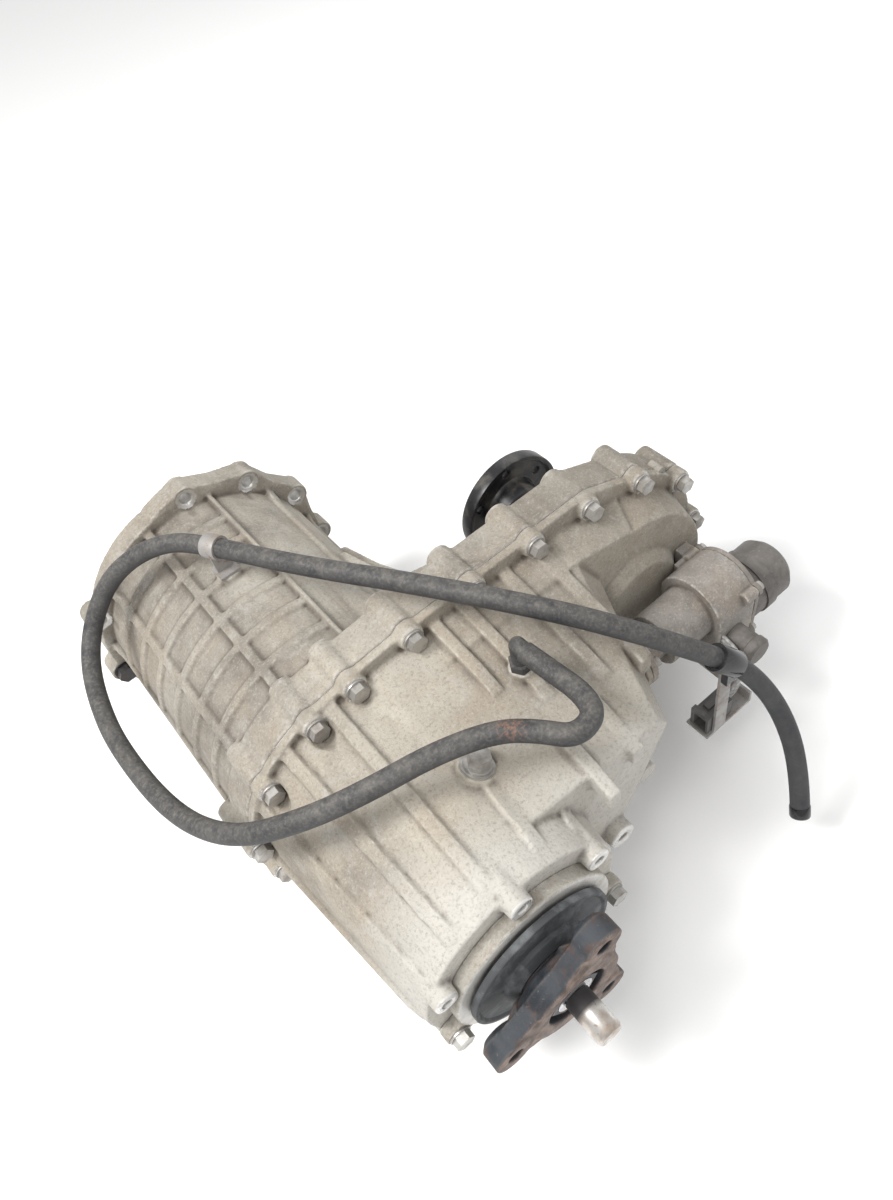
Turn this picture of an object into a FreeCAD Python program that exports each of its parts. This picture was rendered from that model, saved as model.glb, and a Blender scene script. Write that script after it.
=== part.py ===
import FreeCAD, Part
import Sketcher
import math
import os
from FreeCAD import Vector, Rotation, Placement

doc = FreeCAD.newDocument("transfer_case")

# ---------------------------------------------------------------- dimensions
# Model units are millimetres.  Y runs along both shafts, towards the gearbox;
# X runs from the main shaft to the front output; Z is up.  Positions behind
# the gearbox face are written as positive distances and negated in use.
DIMS = [
    ("shaft_gap", 262, "main shaft to front output"),
    ("flange_t", 21, "gearbox flange thickness"),
    ("rim_r", 116.5, "gearbox flange rim"),
    ("hole_circle", 115.5, "gearbox flange hole circle radius"),
    ("hole_r", 5.5, "gearbox flange hole"),
    ("lug_r", 12.0, "gearbox flange lug"),
    ("bell_r", 106, "bell outer wall"),
    ("bell_in", 99.5, "bell inner wall"),
    ("bell_rib", 108.4, "top of the bell ribs"),
    ("bulk_a", 180, "bulkhead front"),
    ("bulk_b", 206, "bulkhead back"),
    ("case_front", 238, "front face of the chain case"),
    ("seam_y", 268, "joint between the two housings"),
    ("seat_y", 281, "bolt head seats"),
    ("main_ra", 102, "main lobe radius at the joint"),
    ("main_rb", 85, "main lobe radius at the back"),
    ("fore_ra", 94, "front output lobe radius at the joint"),
    ("fore_rb", 82, "front output lobe radius at its back"),
    ("lobe_back", 306, "back wall of the front output lobe"),
    ("rear_face", 458, "back face of the rear housing"),
    ("boss_r", 10.5, "seam bolt boss"),
    ("bolt_r", 3.95, "bolt shank"),
    ("tap_r", 4.0, "tapped hole"),
    ("head_af", 13, "bolt head across flats"),
    ("out_r", 18, "output shaft"),
    ("orbit_r", 42, "planet centre circle"),
    ("gear_a", 212, "front of the planetary gears"),
    ("gear_b", 234, "back of the planetary gears"),
    ("chain_a", 275, "front edge of the chain"),
    ("chain_b", 297, "back edge of the chain"),
    ("chain_in", 60.6, "inside radius of the chain"),
    ("chain_out", 71, "outside radius of the chain"),
    ("sprocket_r", 60, "sprocket tip radius"),
    ("drum_r", 72, "clutch drum"),
    ("shield_r", 60, "dust shield"),
    ("shield_y", 474, "dust shield plane"),
    ("arm_y", 510, "back face of the rear flange"),
    ("arm_r", 54, "rear flange bolt circle radius"),
    ("pin_r", 10, "centring pin"),
    ("pin_tip", 541, "tip of the centring pin"),
    ("comp_r", 54, "front flange radius"),
    ("comp_a", 137.5, "front flange face"),
    ("comp_b", 151, "front flange back"),
    ("rail_x", 131, "shift rail position"),
    ("rail_z", 42, "shift rail position"),
    ("rail_r", 7, "shift rail"),
    ("act_y", 350, "actuator axis"),
    ("act_z", 0, "actuator axis"),
    ("act_gap", 30, "actuator gear centres"),
    ("can_r", 28, "motor can"),
    ("can_end", 390, "motor can end"),
    ("hose_r", 7.75, "vent hose outside radius"),
]
sheet = doc.addObject("Spreadsheet::Sheet", "P")
VAL = {}
for row, (alias, value, note) in enumerate(DIMS, start=1):
    sheet.set("A%d" % row, note)
    sheet.set("B%d" % row, str(value))
    sheet.setAlias("B%d" % row, alias)
    VAL[alias] = float(value)
doc.recompute()


class Q:
    """A number that also knows the spreadsheet expression it comes from."""

    def __init__(self, v, e=None):
        self.v = float(v)
        if e is None:
            e = "%.6f" % self.v if self.v >= 0 else "(0 - %.6f)" % -self.v
        self.e = e

    def __add__(self, o):
        o = q(o)
        return Q(self.v + o.v, "(%s + %s)" % (self.e, o.e))

    def __radd__(self, o):
        return q(o) + self

    def __sub__(self, o):
        o = q(o)
        return Q(self.v - o.v, "(%s - %s)" % (self.e, o.e))

    def __rsub__(self, o):
        return q(o) - self

    def __mul__(self, o):
        o = q(o)
        return Q(self.v * o.v, "(%s * %s)" % (self.e, o.e))

    def __rmul__(self, o):
        return q(o) * self

    def __neg__(self):
        return Q(-self.v, "(0 - %s)" % self.e)


def q(o):
    return o if isinstance(o, Q) else Q(o)


class Dims:
    def __getattr__(self, name):
        return Q(VAL[name], "P." + name)


d = Dims()
ROT = {
    "Y": Rotation(Vector(1, 0, 0), -90),
    "-Y": Rotation(Vector(1, 0, 0), 90),
    "X": Rotation(Vector(0, 1, 0), 90),
    "Z": Rotation(),
}


def bind(obj, prop, val):
    obj.setExpression(prop, q(val).e)


def put(obj, x=0, y=0, z=0, rot=None):
    if rot is not None:
        obj.Placement = Placement(Vector(q(x).v, q(y).v, q(z).v), rot)
    bind(obj, "Placement.Base.x", x)
    bind(obj, "Placement.Base.y", y)
    bind(obj, "Placement.Base.z", z)
    return obj


def cyl(name, r, ya, yb, x=0, z=0):
    """Cylinder along the shafts, between distances ya and yb behind the face."""
    o = doc.addObject("Part::Cylinder", name)
    bind(o, "Radius", r)
    bind(o, "Height", q(yb) - ya)
    return put(o, x, -q(ya), z, ROT["-Y"])


def cylx(name, r, xa, xb, y, z):
    o = doc.addObject("Part::Cylinder", name)
    bind(o, "Radius", r)
    bind(o, "Height", q(xb) - xa)
    return put(o, xa, y, z, ROT["X"])


def cylz(name, r, za, zb, x, y):
    o = doc.addObject("Part::Cylinder", name)
    bind(o, "Radius", r)
    bind(o, "Height", q(zb) - za)
    return put(o, x, y, za, ROT["Z"])


def cone(name, ra, rb, ya, yb, x=0, z=0):
    o = doc.addObject("Part::Cone", name)
    bind(o, "Radius1", ra)
    bind(o, "Radius2", rb)
    bind(o, "Height", q(yb) - ya)
    return put(o, x, -q(ya), z, ROT["-Y"])


def box(name, xa, xb, ya, yb, za, zb):
    """Box between distances ya and yb behind the face."""
    o = doc.addObject("Part::Box", name)
    bind(o, "Length", q(xb) - xa)
    bind(o, "Width", q(yb) - ya)
    bind(o, "Height", q(zb) - za)
    return put(o, xa, -q(yb), za)


def fuse(name, parts):
    if len(parts) == 1:
        return parts[0]
    o = doc.addObject("Part::MultiFuse", name)
    o.Shapes = parts
    o.Refine = False
    return o


def cut(name, base, tools):
    o = doc.addObject("Part::Cut", name)
    o.Base = base
    o.Tool = tools[0] if len(tools) == 1 else fuse(name + "_tools", tools)
    o.Refine = False
    return o


def group(name, parts):
    o = doc.addObject("Part::Compound", name)
    o.Links = parts
    return o


def plane_of(body, role):
    return [f for f in body.Origin.OriginFeatures if f.Role == role][0]


def outline(sk, pts):
    """Closed outline of straight lines, every corner bound to the sheet."""
    n = len(pts)
    pts = [(q(a), q(b)) for a, b in pts]
    for i in range(n):
        a, b = pts[i], pts[(i + 1) % n]
        sk.addGeometry(Part.LineSegment(Vector(a[0].v, a[1].v, 0), Vector(b[0].v, b[1].v, 0)), False)
    for i in range(n):
        sk.addConstraint(Sketcher.Constraint("Coincident", i, 2, (i + 1) % n, 1))
    for i in range(n):
        for kind, val in (("DistanceX", pts[i][0]), ("DistanceY", pts[i][1])):
            k = sk.addConstraint(Sketcher.Constraint(kind, -1, 1, i, 1, val.v))
            sk.setExpression("Constraints[%d]" % k, val.e)


def new_sketch(body, name, role):
    sk = body.newObject("Sketcher::SketchObject", name)
    sk.AttachmentSupport = (plane_of(body, role), [""])
    sk.MapMode = "FlatFace"
    return sk


def turned(name, pts, x=0, z=0):
    """Turned part: pts are (radius, distance behind the face)."""
    body = doc.addObject("PartDesign::Body", name)
    sk = new_sketch(body, name + "_profile", "XY_Plane")
    outline(sk, [(r, -q(y)) for r, y in pts])
    rev = body.newObject("PartDesign::Revolution", name + "_turn")
    rev.Profile = sk
    rev.ReferenceAxis = (sk, ["V_Axis"])
    rev.Angle = 360
    body.Tip = rev
    put(body, x, 0, z)
    return body


def ring(name, ri, ro, ya, yb, x=0, z=0):
    return turned(name, [(ri, ya), (ro, ya), (ro, yb), (ri, yb)], x, z)


def plate(name, pts, ya, yb):
    """Plate square to the shafts: pts are (x, z)."""
    body = doc.addObject("PartDesign::Body", name)
    sk = new_sketch(body, name + "_outline", "XZ_Plane")
    outline(sk, pts)
    pad = body.newObject("PartDesign::Pad", name + "_pad")
    pad.Profile = sk
    bind(pad, "Length", q(yb) - ya)
    body.Tip = pad
    put(body, 0, -q(ya), 0)
    return body


def web(name, pts, z, t):
    """Level plate: pts are (x, distance behind the face)."""
    body = doc.addObject("PartDesign::Body", name)
    sk = new_sketch(body, name + "_outline", "XY_Plane")
    outline(sk, [(x, -q(y)) for x, y in pts])
    pad = body.newObject("PartDesign::Pad", name + "_pad")
    pad.Profile = sk
    bind(pad, "Length", t)
    body.Tip = pad
    put(body, 0, 0, z)
    return body


def rib(name, pts, width, x=0, angle=90):
    """Upright plate along the shafts: pts are (distance behind the face, height),
    turned about the main shaft to stand at an angle from +X towards +Z."""
    body = doc.addObject("PartDesign::Body", name)
    sk = new_sketch(body, name + "_outline", "YZ_Plane")
    outline(sk, [(-q(y), h) for y, h in pts])
    pad = body.newObject("PartDesign::Pad", name + "_pad")
    pad.Profile = sk
    bind(pad, "Length", width)
    pad.Midplane = True
    body.Tip = pad
    if angle != 90:
        body.Placement = Placement(Vector(0, 0, 0), Rotation(Vector(0, 1, 0), 90 - angle))
    put(body, x, 0, 0)
    return body


def loft(name, pa, ya, pb, yb):
    """Solid between two outlines square to the shafts."""
    secs = []
    for tag, pts, y in (("a", pa, ya), ("b", pb, yb)):
        sk = doc.addObject("Sketcher::SketchObject", "%s_%s" % (name, tag))
        outline(sk, pts)
        put(sk, 0, -q(y), 0, ROT["-Y"])
        secs.append(sk)
    o = doc.addObject("Part::Loft", name)
    o.Sections = secs
    o.Solid = True
    o.Ruled = True
    return o


def made(name, shape, x=0, y=0, z=0, rot=None):
    o = doc.addObject("Part::Feature", name)
    o.Shape = shape
    o.Placement = Placement(Vector(0, 0, 0), rot or Rotation())
    put(o, x, y, z)
    return o


def pol(r, a):
    """Point at radius r and angle a, as x and z."""
    return q(r) * math.cos(math.radians(a)), q(r) * math.sin(math.radians(a))


def hexbolt(name, x, z, seat, length, side=1, r=None, af=None, head=8):
    """Flanged hex bolt along the shafts; side 1 has its head at the back."""
    r = r or d.bolt_r
    af = af or d.head_af
    hx = doc.addObject("Part::Prism", name + "_hex")
    hx.Polygon = 6
    bind(hx, "Circumradius", q(af) * (1 / math.sqrt(3)))
    bind(hx, "Height", head)
    if side > 0:
        put(hx, x, -q(seat), z, ROT["-Y"])
        fl = cyl(name + "_flange", q(af) * 0.66, seat, q(seat) + 1.6, x, z)
        sh = cyl(name + "_shank", r, q(seat) - length, q(seat) + 1, x, z)
    else:
        put(hx, x, -q(seat), z, ROT["Y"])
        fl = cyl(name + "_flange", q(af) * 0.66, q(seat) - 1.6, seat, x, z)
        sh = cyl(name + "_shank", r, q(seat) - 1, q(seat) + length, x, z)
    return fuse(name, [hx, fl, sh])


def gear_wire(n, m, tip, root, thin, inside=False, samples=7):
    """Involute tooth outline in the XZ plane, a tooth centred on angle 0."""
    pr = n * m / 2.0
    br = pr * math.cos(math.radians(20))
    inv = math.tan(math.radians(20)) - math.radians(20)
    half = math.pi / (2 * n) - (thin / 2.0) / pr
    if inside:
        half = math.pi / (2 * n) + (thin / 2.0) / pr

    def flank(r):
        if r <= br:
            return half + inv
        a = math.acos(br / r)
        return half + inv - (math.tan(a) - a)

    lo, hi = min(tip, root), max(tip, root)
    rs = [lo] + [max(lo, br) + (hi - max(lo, br)) * i / (samples - 1.0) for i in range(samples)]
    if max(lo, br) - lo < 1e-6:
        rs = rs[1:]
    pts = []
    for k in range(n):
        c = 2 * math.pi * k / n
        for r in rs:
            pts.append((r, c - flank(r)))
        for r in reversed(rs):
            pts.append((r, c + flank(r)))
    v = [Vector(r * math.cos(a), 0, r * math.sin(a)) for r, a in pts]
    return Part.makePolygon(v + [v[0]])


def gear_solid(n, m, tip, root, width, thin):
    return Part.Face(gear_wire(n, m, tip, root, thin)).extrude(Vector(0, -width, 0))



NODES = []


def node(obj, label):
    obj.Label = label
    NODES.append(obj)
    return obj


# ---------------------------------------------------------------- seam outline
SEAM = [(-107, 14), (-76, 68), (-26, 98), (12, 107), (66, 113), (126, 114), (185, 113), (242, 108),
        (298, 94), (346, 58), (364, -4), (340, -62), (298, -97), (242, -108), (185, -112), (126, -113),
        (66, -113), (12, -110), (-30, -102), (-76, -76), (-103, -34)]
for i, (x, z) in enumerate(SEAM):
    for t, v in (("x", x), ("z", z)):
        r = 100 + 2 * i + (t == "z")
        sheet.set("A%d" % r, "seam bolt %d %s" % (i + 1, t))
        sheet.set("B%d" % r, str(v))
        sheet.setAlias("B%d" % r, "seam_%s_%d" % (t, i + 1))
        VAL["seam_%s_%d" % (t, i + 1)] = float(v)
doc.recompute()
SEAMQ = [(Q(VAL["seam_x_%d" % (i + 1)], "P.seam_x_%d" % (i + 1)),
          Q(VAL["seam_z_%d" % (i + 1)], "P.seam_z_%d" % (i + 1))) for i in range(len(SEAM))]


def bind_all(name, r, h):
    o = doc.addObject("Part::Cylinder", name)
    bind(o, "Radius", r)
    bind(o, "Height", h)
    return o


def case_hull(name, r0, r1, ya, yb, r0b=None, r1b=None):
    """Two round ends and the straight body between them."""
    r0b = r0b or r0
    r1b = r1b or r1
    a = cone(name + "_main", q(r0), q(r0b), ya, yb) if q(r0).v != q(r0b).v else cyl(name + "_main", r0, ya, yb)
    b = cone(name + "_fore", q(r1), q(r1b), ya, yb, d.shaft_gap) if q(r1).v != q(r1b).v else cyl(name + "_fore", r1, ya, yb, d.shaft_gap)
    g = d.shaft_gap
    c = loft(name + "_mid", [(0, r0), (g, r1), (g, -q(r1)), (0, -q(r0))], ya,
             [(0, r0b), (g, r1b), (g, -q(r1b)), (0, -q(r0b))], yb)
    return [a, b, c]


# ---------------------------------------------------------------- front housing
LUGS = [83, 53, 23.5, -7, -38, -82, -112, -146, -172, 154]
parts = [cyl("fh_rim", d.rim_r, 0, d.flange_t), cyl("fh_wall", d.bell_r, 12, d.case_front + 4)]
holes = []
for i, a in enumerate(LUGS):
    x, z = pol(d.hole_circle, a)
    parts.append(cyl("fh_lug_%d" % i, d.lug_r, 0, d.flange_t, x, z))
    holes.append(cyl("fh_hole_%d" % i, d.hole_r, -1, d.flange_t + 30, x, z))
    holes.append(cyl("fh_spot_%d" % i, 10.4, d.flange_t - 1, d.flange_t + 14, x, z))
LUGPLATE = [pol(r, a) for r, a in ((60, 100), (118, 100), (122, 91), (127, 83), (120, 68), (127, 53), (119, 38), (127, 23.5), (117, 10), (60, 10))]
parts.append(plate("fh_lugplate", LUGPLATE, 0, d.flange_t - 1))
OFFSIDE = [(0, 0)] + [pol(170, a) for a in (72.7, 30, -15, -60, -108)]
for i, y in enumerate((50, 82, 114, 146, 178, 210)):
    parts.append(cut("fh_band_%d" % i, cyl("fh_band_%d_ring" % i, d.bell_rib, y, y + 7), [plate("fh_band_%d_gap" % i, OFFSIDE, y - 1, y + 8)]))
for i in range(11):
    a = 72.7 + 32.727 * i
    top, wide = (112, 4) if i == 0 else (d.bell_rib + 0.5, 8)
    parts.append(rib("fh_rib_%d" % i, [(14, 100), (14, 112), (40, top), (d.case_front + 2, top), (d.case_front + 2, 100)], wide, 0, a))
parts += case_hull("fh_case", d.main_ra + 6.5, d.fore_ra + 9, d.case_front, d.seam_y)
BAND = [(-6, 108), (12, 114), (64, 118.5), (246, 118.5), (286, 102), (286, -104), (244, -118), (66, -118), (12, -115), (-6, -108)]
parts.append(plate("fh_rimband", BAND, d.case_front, d.seam_y))
CROWN = [(-10, 100), (30, 107), (215, 106), (278, 94), (278, -94), (215, -105), (30, -106), (-10, -100)]
parts.append(plate("fh_crown", CROWN, d.case_front, d.seam_y))
for i, (x, z) in enumerate(SEAMQ):
    parts.append(cyl("fh_boss_%d" % i, d.boss_r + 0.5, d.case_front - 5, d.seam_y, x, z))
parts.append(cone("fh_nose", 46, 50, 196, d.case_front + 2, d.shaft_gap))
for i in range(8):
    a = math.radians(22.5 + 45 * i)
    b = doc.addObject("PartDesign::Body", "fh_nose_rib_%d" % i)
    sk = new_sketch(b, "fh_nose_rib_%d_outline" % i, "YZ_Plane")
    outline(sk, [(-202, 40), (-202, 47), (-d.case_front, 80), (-d.case_front - 2, 80), (-d.case_front - 2, 40)])
    pad = b.newObject("PartDesign::Pad", "fh_nose_rib_%d_pad" % i)
    pad.Profile = sk
    bind(pad, "Length", 6)
    pad.Midplane = True
    b.Tip = pad
    b.Placement = Placement(Vector(0, 0, 0), Rotation(Vector(0, 1, 0), 90 - math.degrees(a)))
    put(b, d.shaft_gap, 0, 0)
    parts.append(b)
# stiffening webs in the corner between the bell and the chain case
for i, (z, y0, x1) in enumerate(((88, 168, 172), (58, 126, 200), (26, 92, 208), (-30, 96, 205), (-62, 118, 205), (-88, 150, 190))):
    xb = math.sqrt(106.0 ** 2 - z * z)
    pts = [(xb - 8, y0 - 4), (xb + 6, y0), (xb + 16, y0 + 40), (xb + 34, y0 + (230 - y0) * 0.62), (x1 - 40, 216), (x1, 231), (x1, 240), (xb - 8, 240)]
    parts.append(web("fh_web_%d" % i, pts, z - 2.5, 5))
for i, (x, z0, z1) in enumerate(((128, -84, 58), (160, -84, 58))):
    parts.append(box("fh_fin_%d" % i, x, x + 5, 226, 240, z0, z1))
parts.append(cylz("fh_clip_pad", 10, 98, 111.5, 0, -116))
parts.append(cyl("fh_rail_boss", 13, 208, d.case_front + 4, d.rail_x, d.rail_z))
outer = fuse("fh_outer", parts)

cav = [cyl("fh_bell_hollow", d.bell_in, -1, d.bulk_a)]
cav.append(cut("fh_gear_annulus", cyl("fh_gear_annulus_a", d.bell_in - 1, 216, d.seam_y + 1), [cyl("fh_gear_annulus_b", 72, 200, 246)]))
cav.append(cut("fh_chain_space", fuse("fh_chain_space_f", case_hull("fh_inner", d.main_ra - 5, d.fore_ra - 7, d.case_front + 7, d.seam_y + 1)), [cyl("fh_chain_keep", 72, 200, 246)]))
shell = cut("fh_shell", outer, cav)
add = [cyl("fh_rail_guide", 13, d.case_front - 4, 246, d.rail_x, d.rail_z),
       cyl("fh_nose_in", 48, 216, 250, d.shaft_gap)]
for i, (x, z) in enumerate(SEAMQ):
    add.append(cyl("fh_in_boss_%d" % i, 8.6, d.case_front + 2, d.seam_y, x, z))
body = fuse("fh_body", [shell] + add)
bores = [cyl("fh_bearing_bore", 45, 184, 204.5), cyl("fh_seal_bore", 32, 179, 184.5), cyl("fh_shaft_pass", 28.5, 203, 207),
         cyl("fh_ring_seat", 64, 206, 246.5),
         cyl("fh_fore_bearing_bore", 40, 222, 251, d.shaft_gap), cyl("fh_fore_seal_bore", 33, 195, 208, d.shaft_gap),
         cyl("fh_fore_pass", 26, 207, 223, d.shaft_gap),
         cyl("fh_rail_bore", d.rail_r + 0.05, 213, 247, d.rail_x, d.rail_z)]
for i, (x, z) in enumerate(SEAMQ):
    bores.append(cyl("fh_tap_%d" % i, d.tap_r, d.seam_y - 26, d.seam_y + 1, x, z))
for i, (x, z) in enumerate(((-88, -58), (330, 78))):
    bores.append(cyl("fh_dowel_%d" % i, 4.0, d.seam_y - 8, d.seam_y + 1, x, z))
bores.append(cyl("fh_register", 102, -1, 8))
node(cut("front_housing", body, bores + holes), "front_housing")

# ---------------------------------------------------------------- rear housing
MR = lambda y: d.main_ra + (d.main_rb - d.main_ra) * ((y - 268) / 190.0)
parts = case_hull("rh_flange", d.main_ra + 6.5, d.fore_ra + 9, d.seam_y, 276)
parts.append(plate("rh_rimband", BAND, d.seam_y, 276))
parts.append(loft("rh_crown", CROWN, d.seam_y, [(-10, 94), (30, 100), (205, 98), (262, 85), (262, -85), (205, -97), (30, -99), (-10, -94)], d.lobe_back))
for i, (x, z) in enumerate(SEAMQ):
    parts.append(cyl("rh_boss_%d" % i, d.boss_r, d.seam_y, d.seat_y, x, z))
parts.append(cone("rh_main", d.main_ra, d.main_rb, d.seam_y, d.rear_face))
parts += case_hull("rh_chain", d.main_ra - 2, d.fore_ra - 2, 270, d.lobe_back, d.main_ra - 8, d.fore_rb)
parts.append(cone("rh_dome", 52, 42, d.lobe_back - 2, 316, d.shaft_gap))
parts.append(loft("rh_middle", [(-20, 96), (30, 104), (215, 103), (240, 60), (200, -80), (30, -100)], 272,
                  [(-10, 80), (30, 81), (160, 66), (170, 50), (112, -58), (30, -73)], 430))
for i in range(11):
    a = (120.5, 95.5, 66, 148, 178, -154, -128, -102, -76, -50, 40)[i]
    y1 = 452 if a not in (66, 40) else 446
    y0 = 274 if a not in (66, 40) else 380
    parts.append(rib("rh_rib_%d" % i, [(y0, 80), (y0, MR(y0) + 4.4), (y1 - 12, MR(y1) + 4.2), (y1, MR(y1) + 1.2), (y1, 76)], 11, 0, a))
for i, (x, y0, h0, y1, h1) in enumerate(((87, 276, 110, 348, 99), (113, 276, 110, 372, 92), (155, 276, 109, 384, 86),
                                         (188, 276, 108, 392, 80), (98, 396, 88, 450, 76), (134, 392, 84, 436, 72))):
    parts.append(rib("rh_toprib_%d" % i, [(y0, h0 - 24), (y0, h0 - 1), (y1 - 20, h1 + 2), (y1, h1 - 6), (y1, h1 - 24)], 10.5, x))
for i, (x, y0, y1) in enumerate(((60, 290, 400), (100, 290, 400), (140, 290, 400), (175, 292, 360))):
    parts.append(rib("rh_lowrib_%d" % i, [(y0, -70), (y0, -99), (y1, -80), (y1, -60)], 8, x))
for i, a in enumerate((90, 36, 150)):
    x, z = pol(79, a)
    parts.append(cyl("rh_backboss_%d" % i, 9.5, 405, 468, x, z))
for i, a in enumerate((-22, -158, -90)):
    x, z = pol(79, a)
    parts.append(cyl("rh_keepboss_%d" % i, 10, 420, d.rear_face, x, z))
parts.append(cyl("rh_mountboss", 12, 385, 441, 112, -42))
parts.append(cyl("rh_mountboss2", 9, 385, 428, 152, -8))
plug = doc.addObject("Part::Cylinder", "rh_plugboss")
bind(plug, "Radius", 14)
bind(plug, "Height", 34)
put(plug, 26, -379, 58.5, Rotation(Vector(0, 1, 0), 24))
parts.append(plug)
drain = cylz("rh_drainboss", 14, -99, -70, 60, -350)
parts.append(drain)
parts.append(cylz("rh_breatherboss", 10, 70, 97, 112, -344))
parts.append(cylx("rh_shiftboss", 17, 150, 214, -d.act_y, d.act_z))
parts.append(cylx("rh_shiftflange", 26, 208, 214, -d.act_y, d.act_z))
outer = fuse("rh_outer", parts)
cav = [cone("rh_main_hollow", d.main_ra - 7, d.main_rb - 4, d.seam_y - 1, 402)]
cav += case_hull("rh_chain_hollow", d.main_ra - 8, d.fore_ra - 8, d.seam_y - 1, 300, d.main_ra - 14, d.fore_rb - 6)
cav.append(loft("rh_middle_hollow", [(0, 86), (30, 94), (207, 93), (230, 57), (191, -71), (30, -91)], 271,
                [(0, 70), (30, 72), (150, 58), (159, 46), (105, -49), (30, -63)], 422))
shell = cut("rh_shell", outer, cav)
add = [cut("rh_pump_seat", cyl("rh_pump_seat_a", 86, 400, 432), [cyl("rh_pump_seat_b", 60, 398, 427)]),
       cyl("rh_foreboss", 43, 299, 308, d.shaft_gap),
       cyl("rh_rail_end", 13, 384, 426, d.rail_x, d.rail_z)]
pads = []
for i, (x, z) in enumerate(SEAMQ):
    add.append(cyl("rh_in_boss_%d" % i, 8.6, d.seam_y, 275, x, z))
    if math.hypot(x.v, z.v) < 106:
        pads += [cyl("rh_in_pad_%d" % i, 12.4, d.seam_y, 296, x, z), cone("rh_in_pad_end_%d" % i, 12.4, 5, 296, 309, x, z)]
pumpwall = add.pop(0)
add.append(doc.addObject("Part::Common", "rh_pump_wall"))
add[-1].Base = pumpwall
add[-1].Tool = cone("rh_main_envelope", d.main_ra - 1, d.main_rb - 1, d.seam_y, d.rear_face)
add.append(doc.addObject("Part::Common", "rh_pads_inside"))
add[-1].Base = fuse("rh_pads", pads)
add[-1].Tool = cone("rh_pads_envelope", d.main_ra - 1.2, d.main_rb - 1.2, d.seam_y, d.rear_face)
body = fuse("rh_body", [shell] + add)
bores = [cyl("rh_bearing_bore", 40, 430, 450.5), cyl("rh_out_pass", 30, 425, 459),
         cyl("rh_pump_bore", 60, 398, 426),
         cyl("rh_fore_bearing_bore", 36, 298, 316 - 3.5, d.shaft_gap),
         cyl("rh_rail_bore", d.rail_r + 0.05, 383, 416, d.rail_x, d.rail_z),
         cylx("rh_shift_bore", 8.05, 140, 215, -d.act_y, d.act_z),
         cylz("rh_breather_bore", 4.0, 60, 98, 112, -344),
         cylz("rh_drain_bore", 8.0, -100, -66, 60, -350),
         cyl("rh_mount_tap", 5.0, 421, 442, 112, -42)]
pb = doc.addObject("Part::Cylinder", "rh_plug_bore")
bind(pb, "Radius", 8)
bind(pb, "Height", 44)
put(pb, 22, -379, 49.5, Rotation(Vector(0, 1, 0), 24))
bores.append(pb)
bores.append(put(bind_all("rh_plug_spot", 14.6, 30), 26 + 34 * math.sin(math.radians(24)), -379, 58.5 + 34 * math.cos(math.radians(24)), Rotation(Vector(0, 1, 0), 24)))
bores.append(cylz("rh_breather_spot", 10.6, 97, 120, 112, -344))
for i, (x, z) in enumerate(SEAMQ):
    bores.append(cyl("rh_clear_%d" % i, 4.2, d.seam_y - 1, d.seat_y + 1, x, z))
    bores.append(cyl("rh_pocket_%d" % i, 9.3, d.seat_y, 292, x, z))
    bores.append(cone("rh_pocket_end_%d" % i, 9.3, 2, 292, 305, x, z))
for i, (x, z) in enumerate(((-88, -58), (330, 78))):
    bores.append(cyl("rh_dowel_%d" % i, 4.0, d.seam_y - 1, d.seam_y + 6, x, z))
for i, a in enumerate((90, 36, 150)):
    x, z = pol(79, a)
    bores.append(cyl("rh_backtap_%d" % i, d.tap_r, 446, 469, x, z))
for i, a in enumerate((-22, -158, -90)):
    x, z = pol(79, a)
    bores.append(cyl("rh_keeptap_%d" % i, d.tap_r, 436, 459, x, z))
for i, a in enumerate((40, 160, 280)):
    x = 0 + 20.5 * math.cos(math.radians(a))
    z = 20.5 * math.sin(math.radians(a))
    bores.append(cylx("rh_shifttap_%d" % i, 2.0, 204, 215, -d.act_y + x, d.act_z + z))
node(cut("rear_housing", body, bores), "rear_housing")

# ---------------------------------------------------------------- rear retainer
parts = [cyl("rr_disc", 69, d.rear_face, 470)]
for i, a in enumerate((-22, -158, -90)):
    x, z = pol(79, a)
    parts.append(cyl("rr_lug_%d" % i, 10, d.rear_face, 468, x, z))
    x2, z2 = pol(70, a)
    parts.append(cyl("rr_neck_%d" % i, 10, d.rear_face, 468, x2, z2))
parts.append(cyl("rr_collar", 46, 469, 471.5))
bores = [cyl("rr_seal_bore", 40, 459.5, 472), cyl("rr_pass", 30, 457, 460)]
for i, a in enumerate((-22, -158, -90)):
    x, z = pol(79, a)
    bores.append(cyl("rr_clear_%d" % i, 4.2, 457, 469, x, z))
node(cut("rear_retainer", fuse("rr_outer", parts), bores), "rear_retainer")
node(group("retainer_bolts", [hexbolt("keep_bolt_%d" % i, pol(79, a)[0], pol(79, a)[1], 468, 28) for i, a in enumerate((-22, -158, -90))]), "retainer_bolts")
node(group("seam_bolts", [hexbolt("seam_bolt_%d" % i, x, z, d.seat_y, 34) for i, (x, z) in enumerate(SEAMQ)]), "seam_bolts")
node(group("dowels", [cyl("dowel_%d" % i, 3.97, d.seam_y - 7.5, d.seam_y + 5.5, x, z) for i, (x, z) in enumerate(((-88, -58), (330, 78)))]), "dowels")
bx, bz = pol(d.hole_circle, -172)
node(hexbolt("flange_bolt", bx, bz, d.flange_t - 1, 19, 1, 4.9, 15, 9), "flange_bolt")


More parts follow.
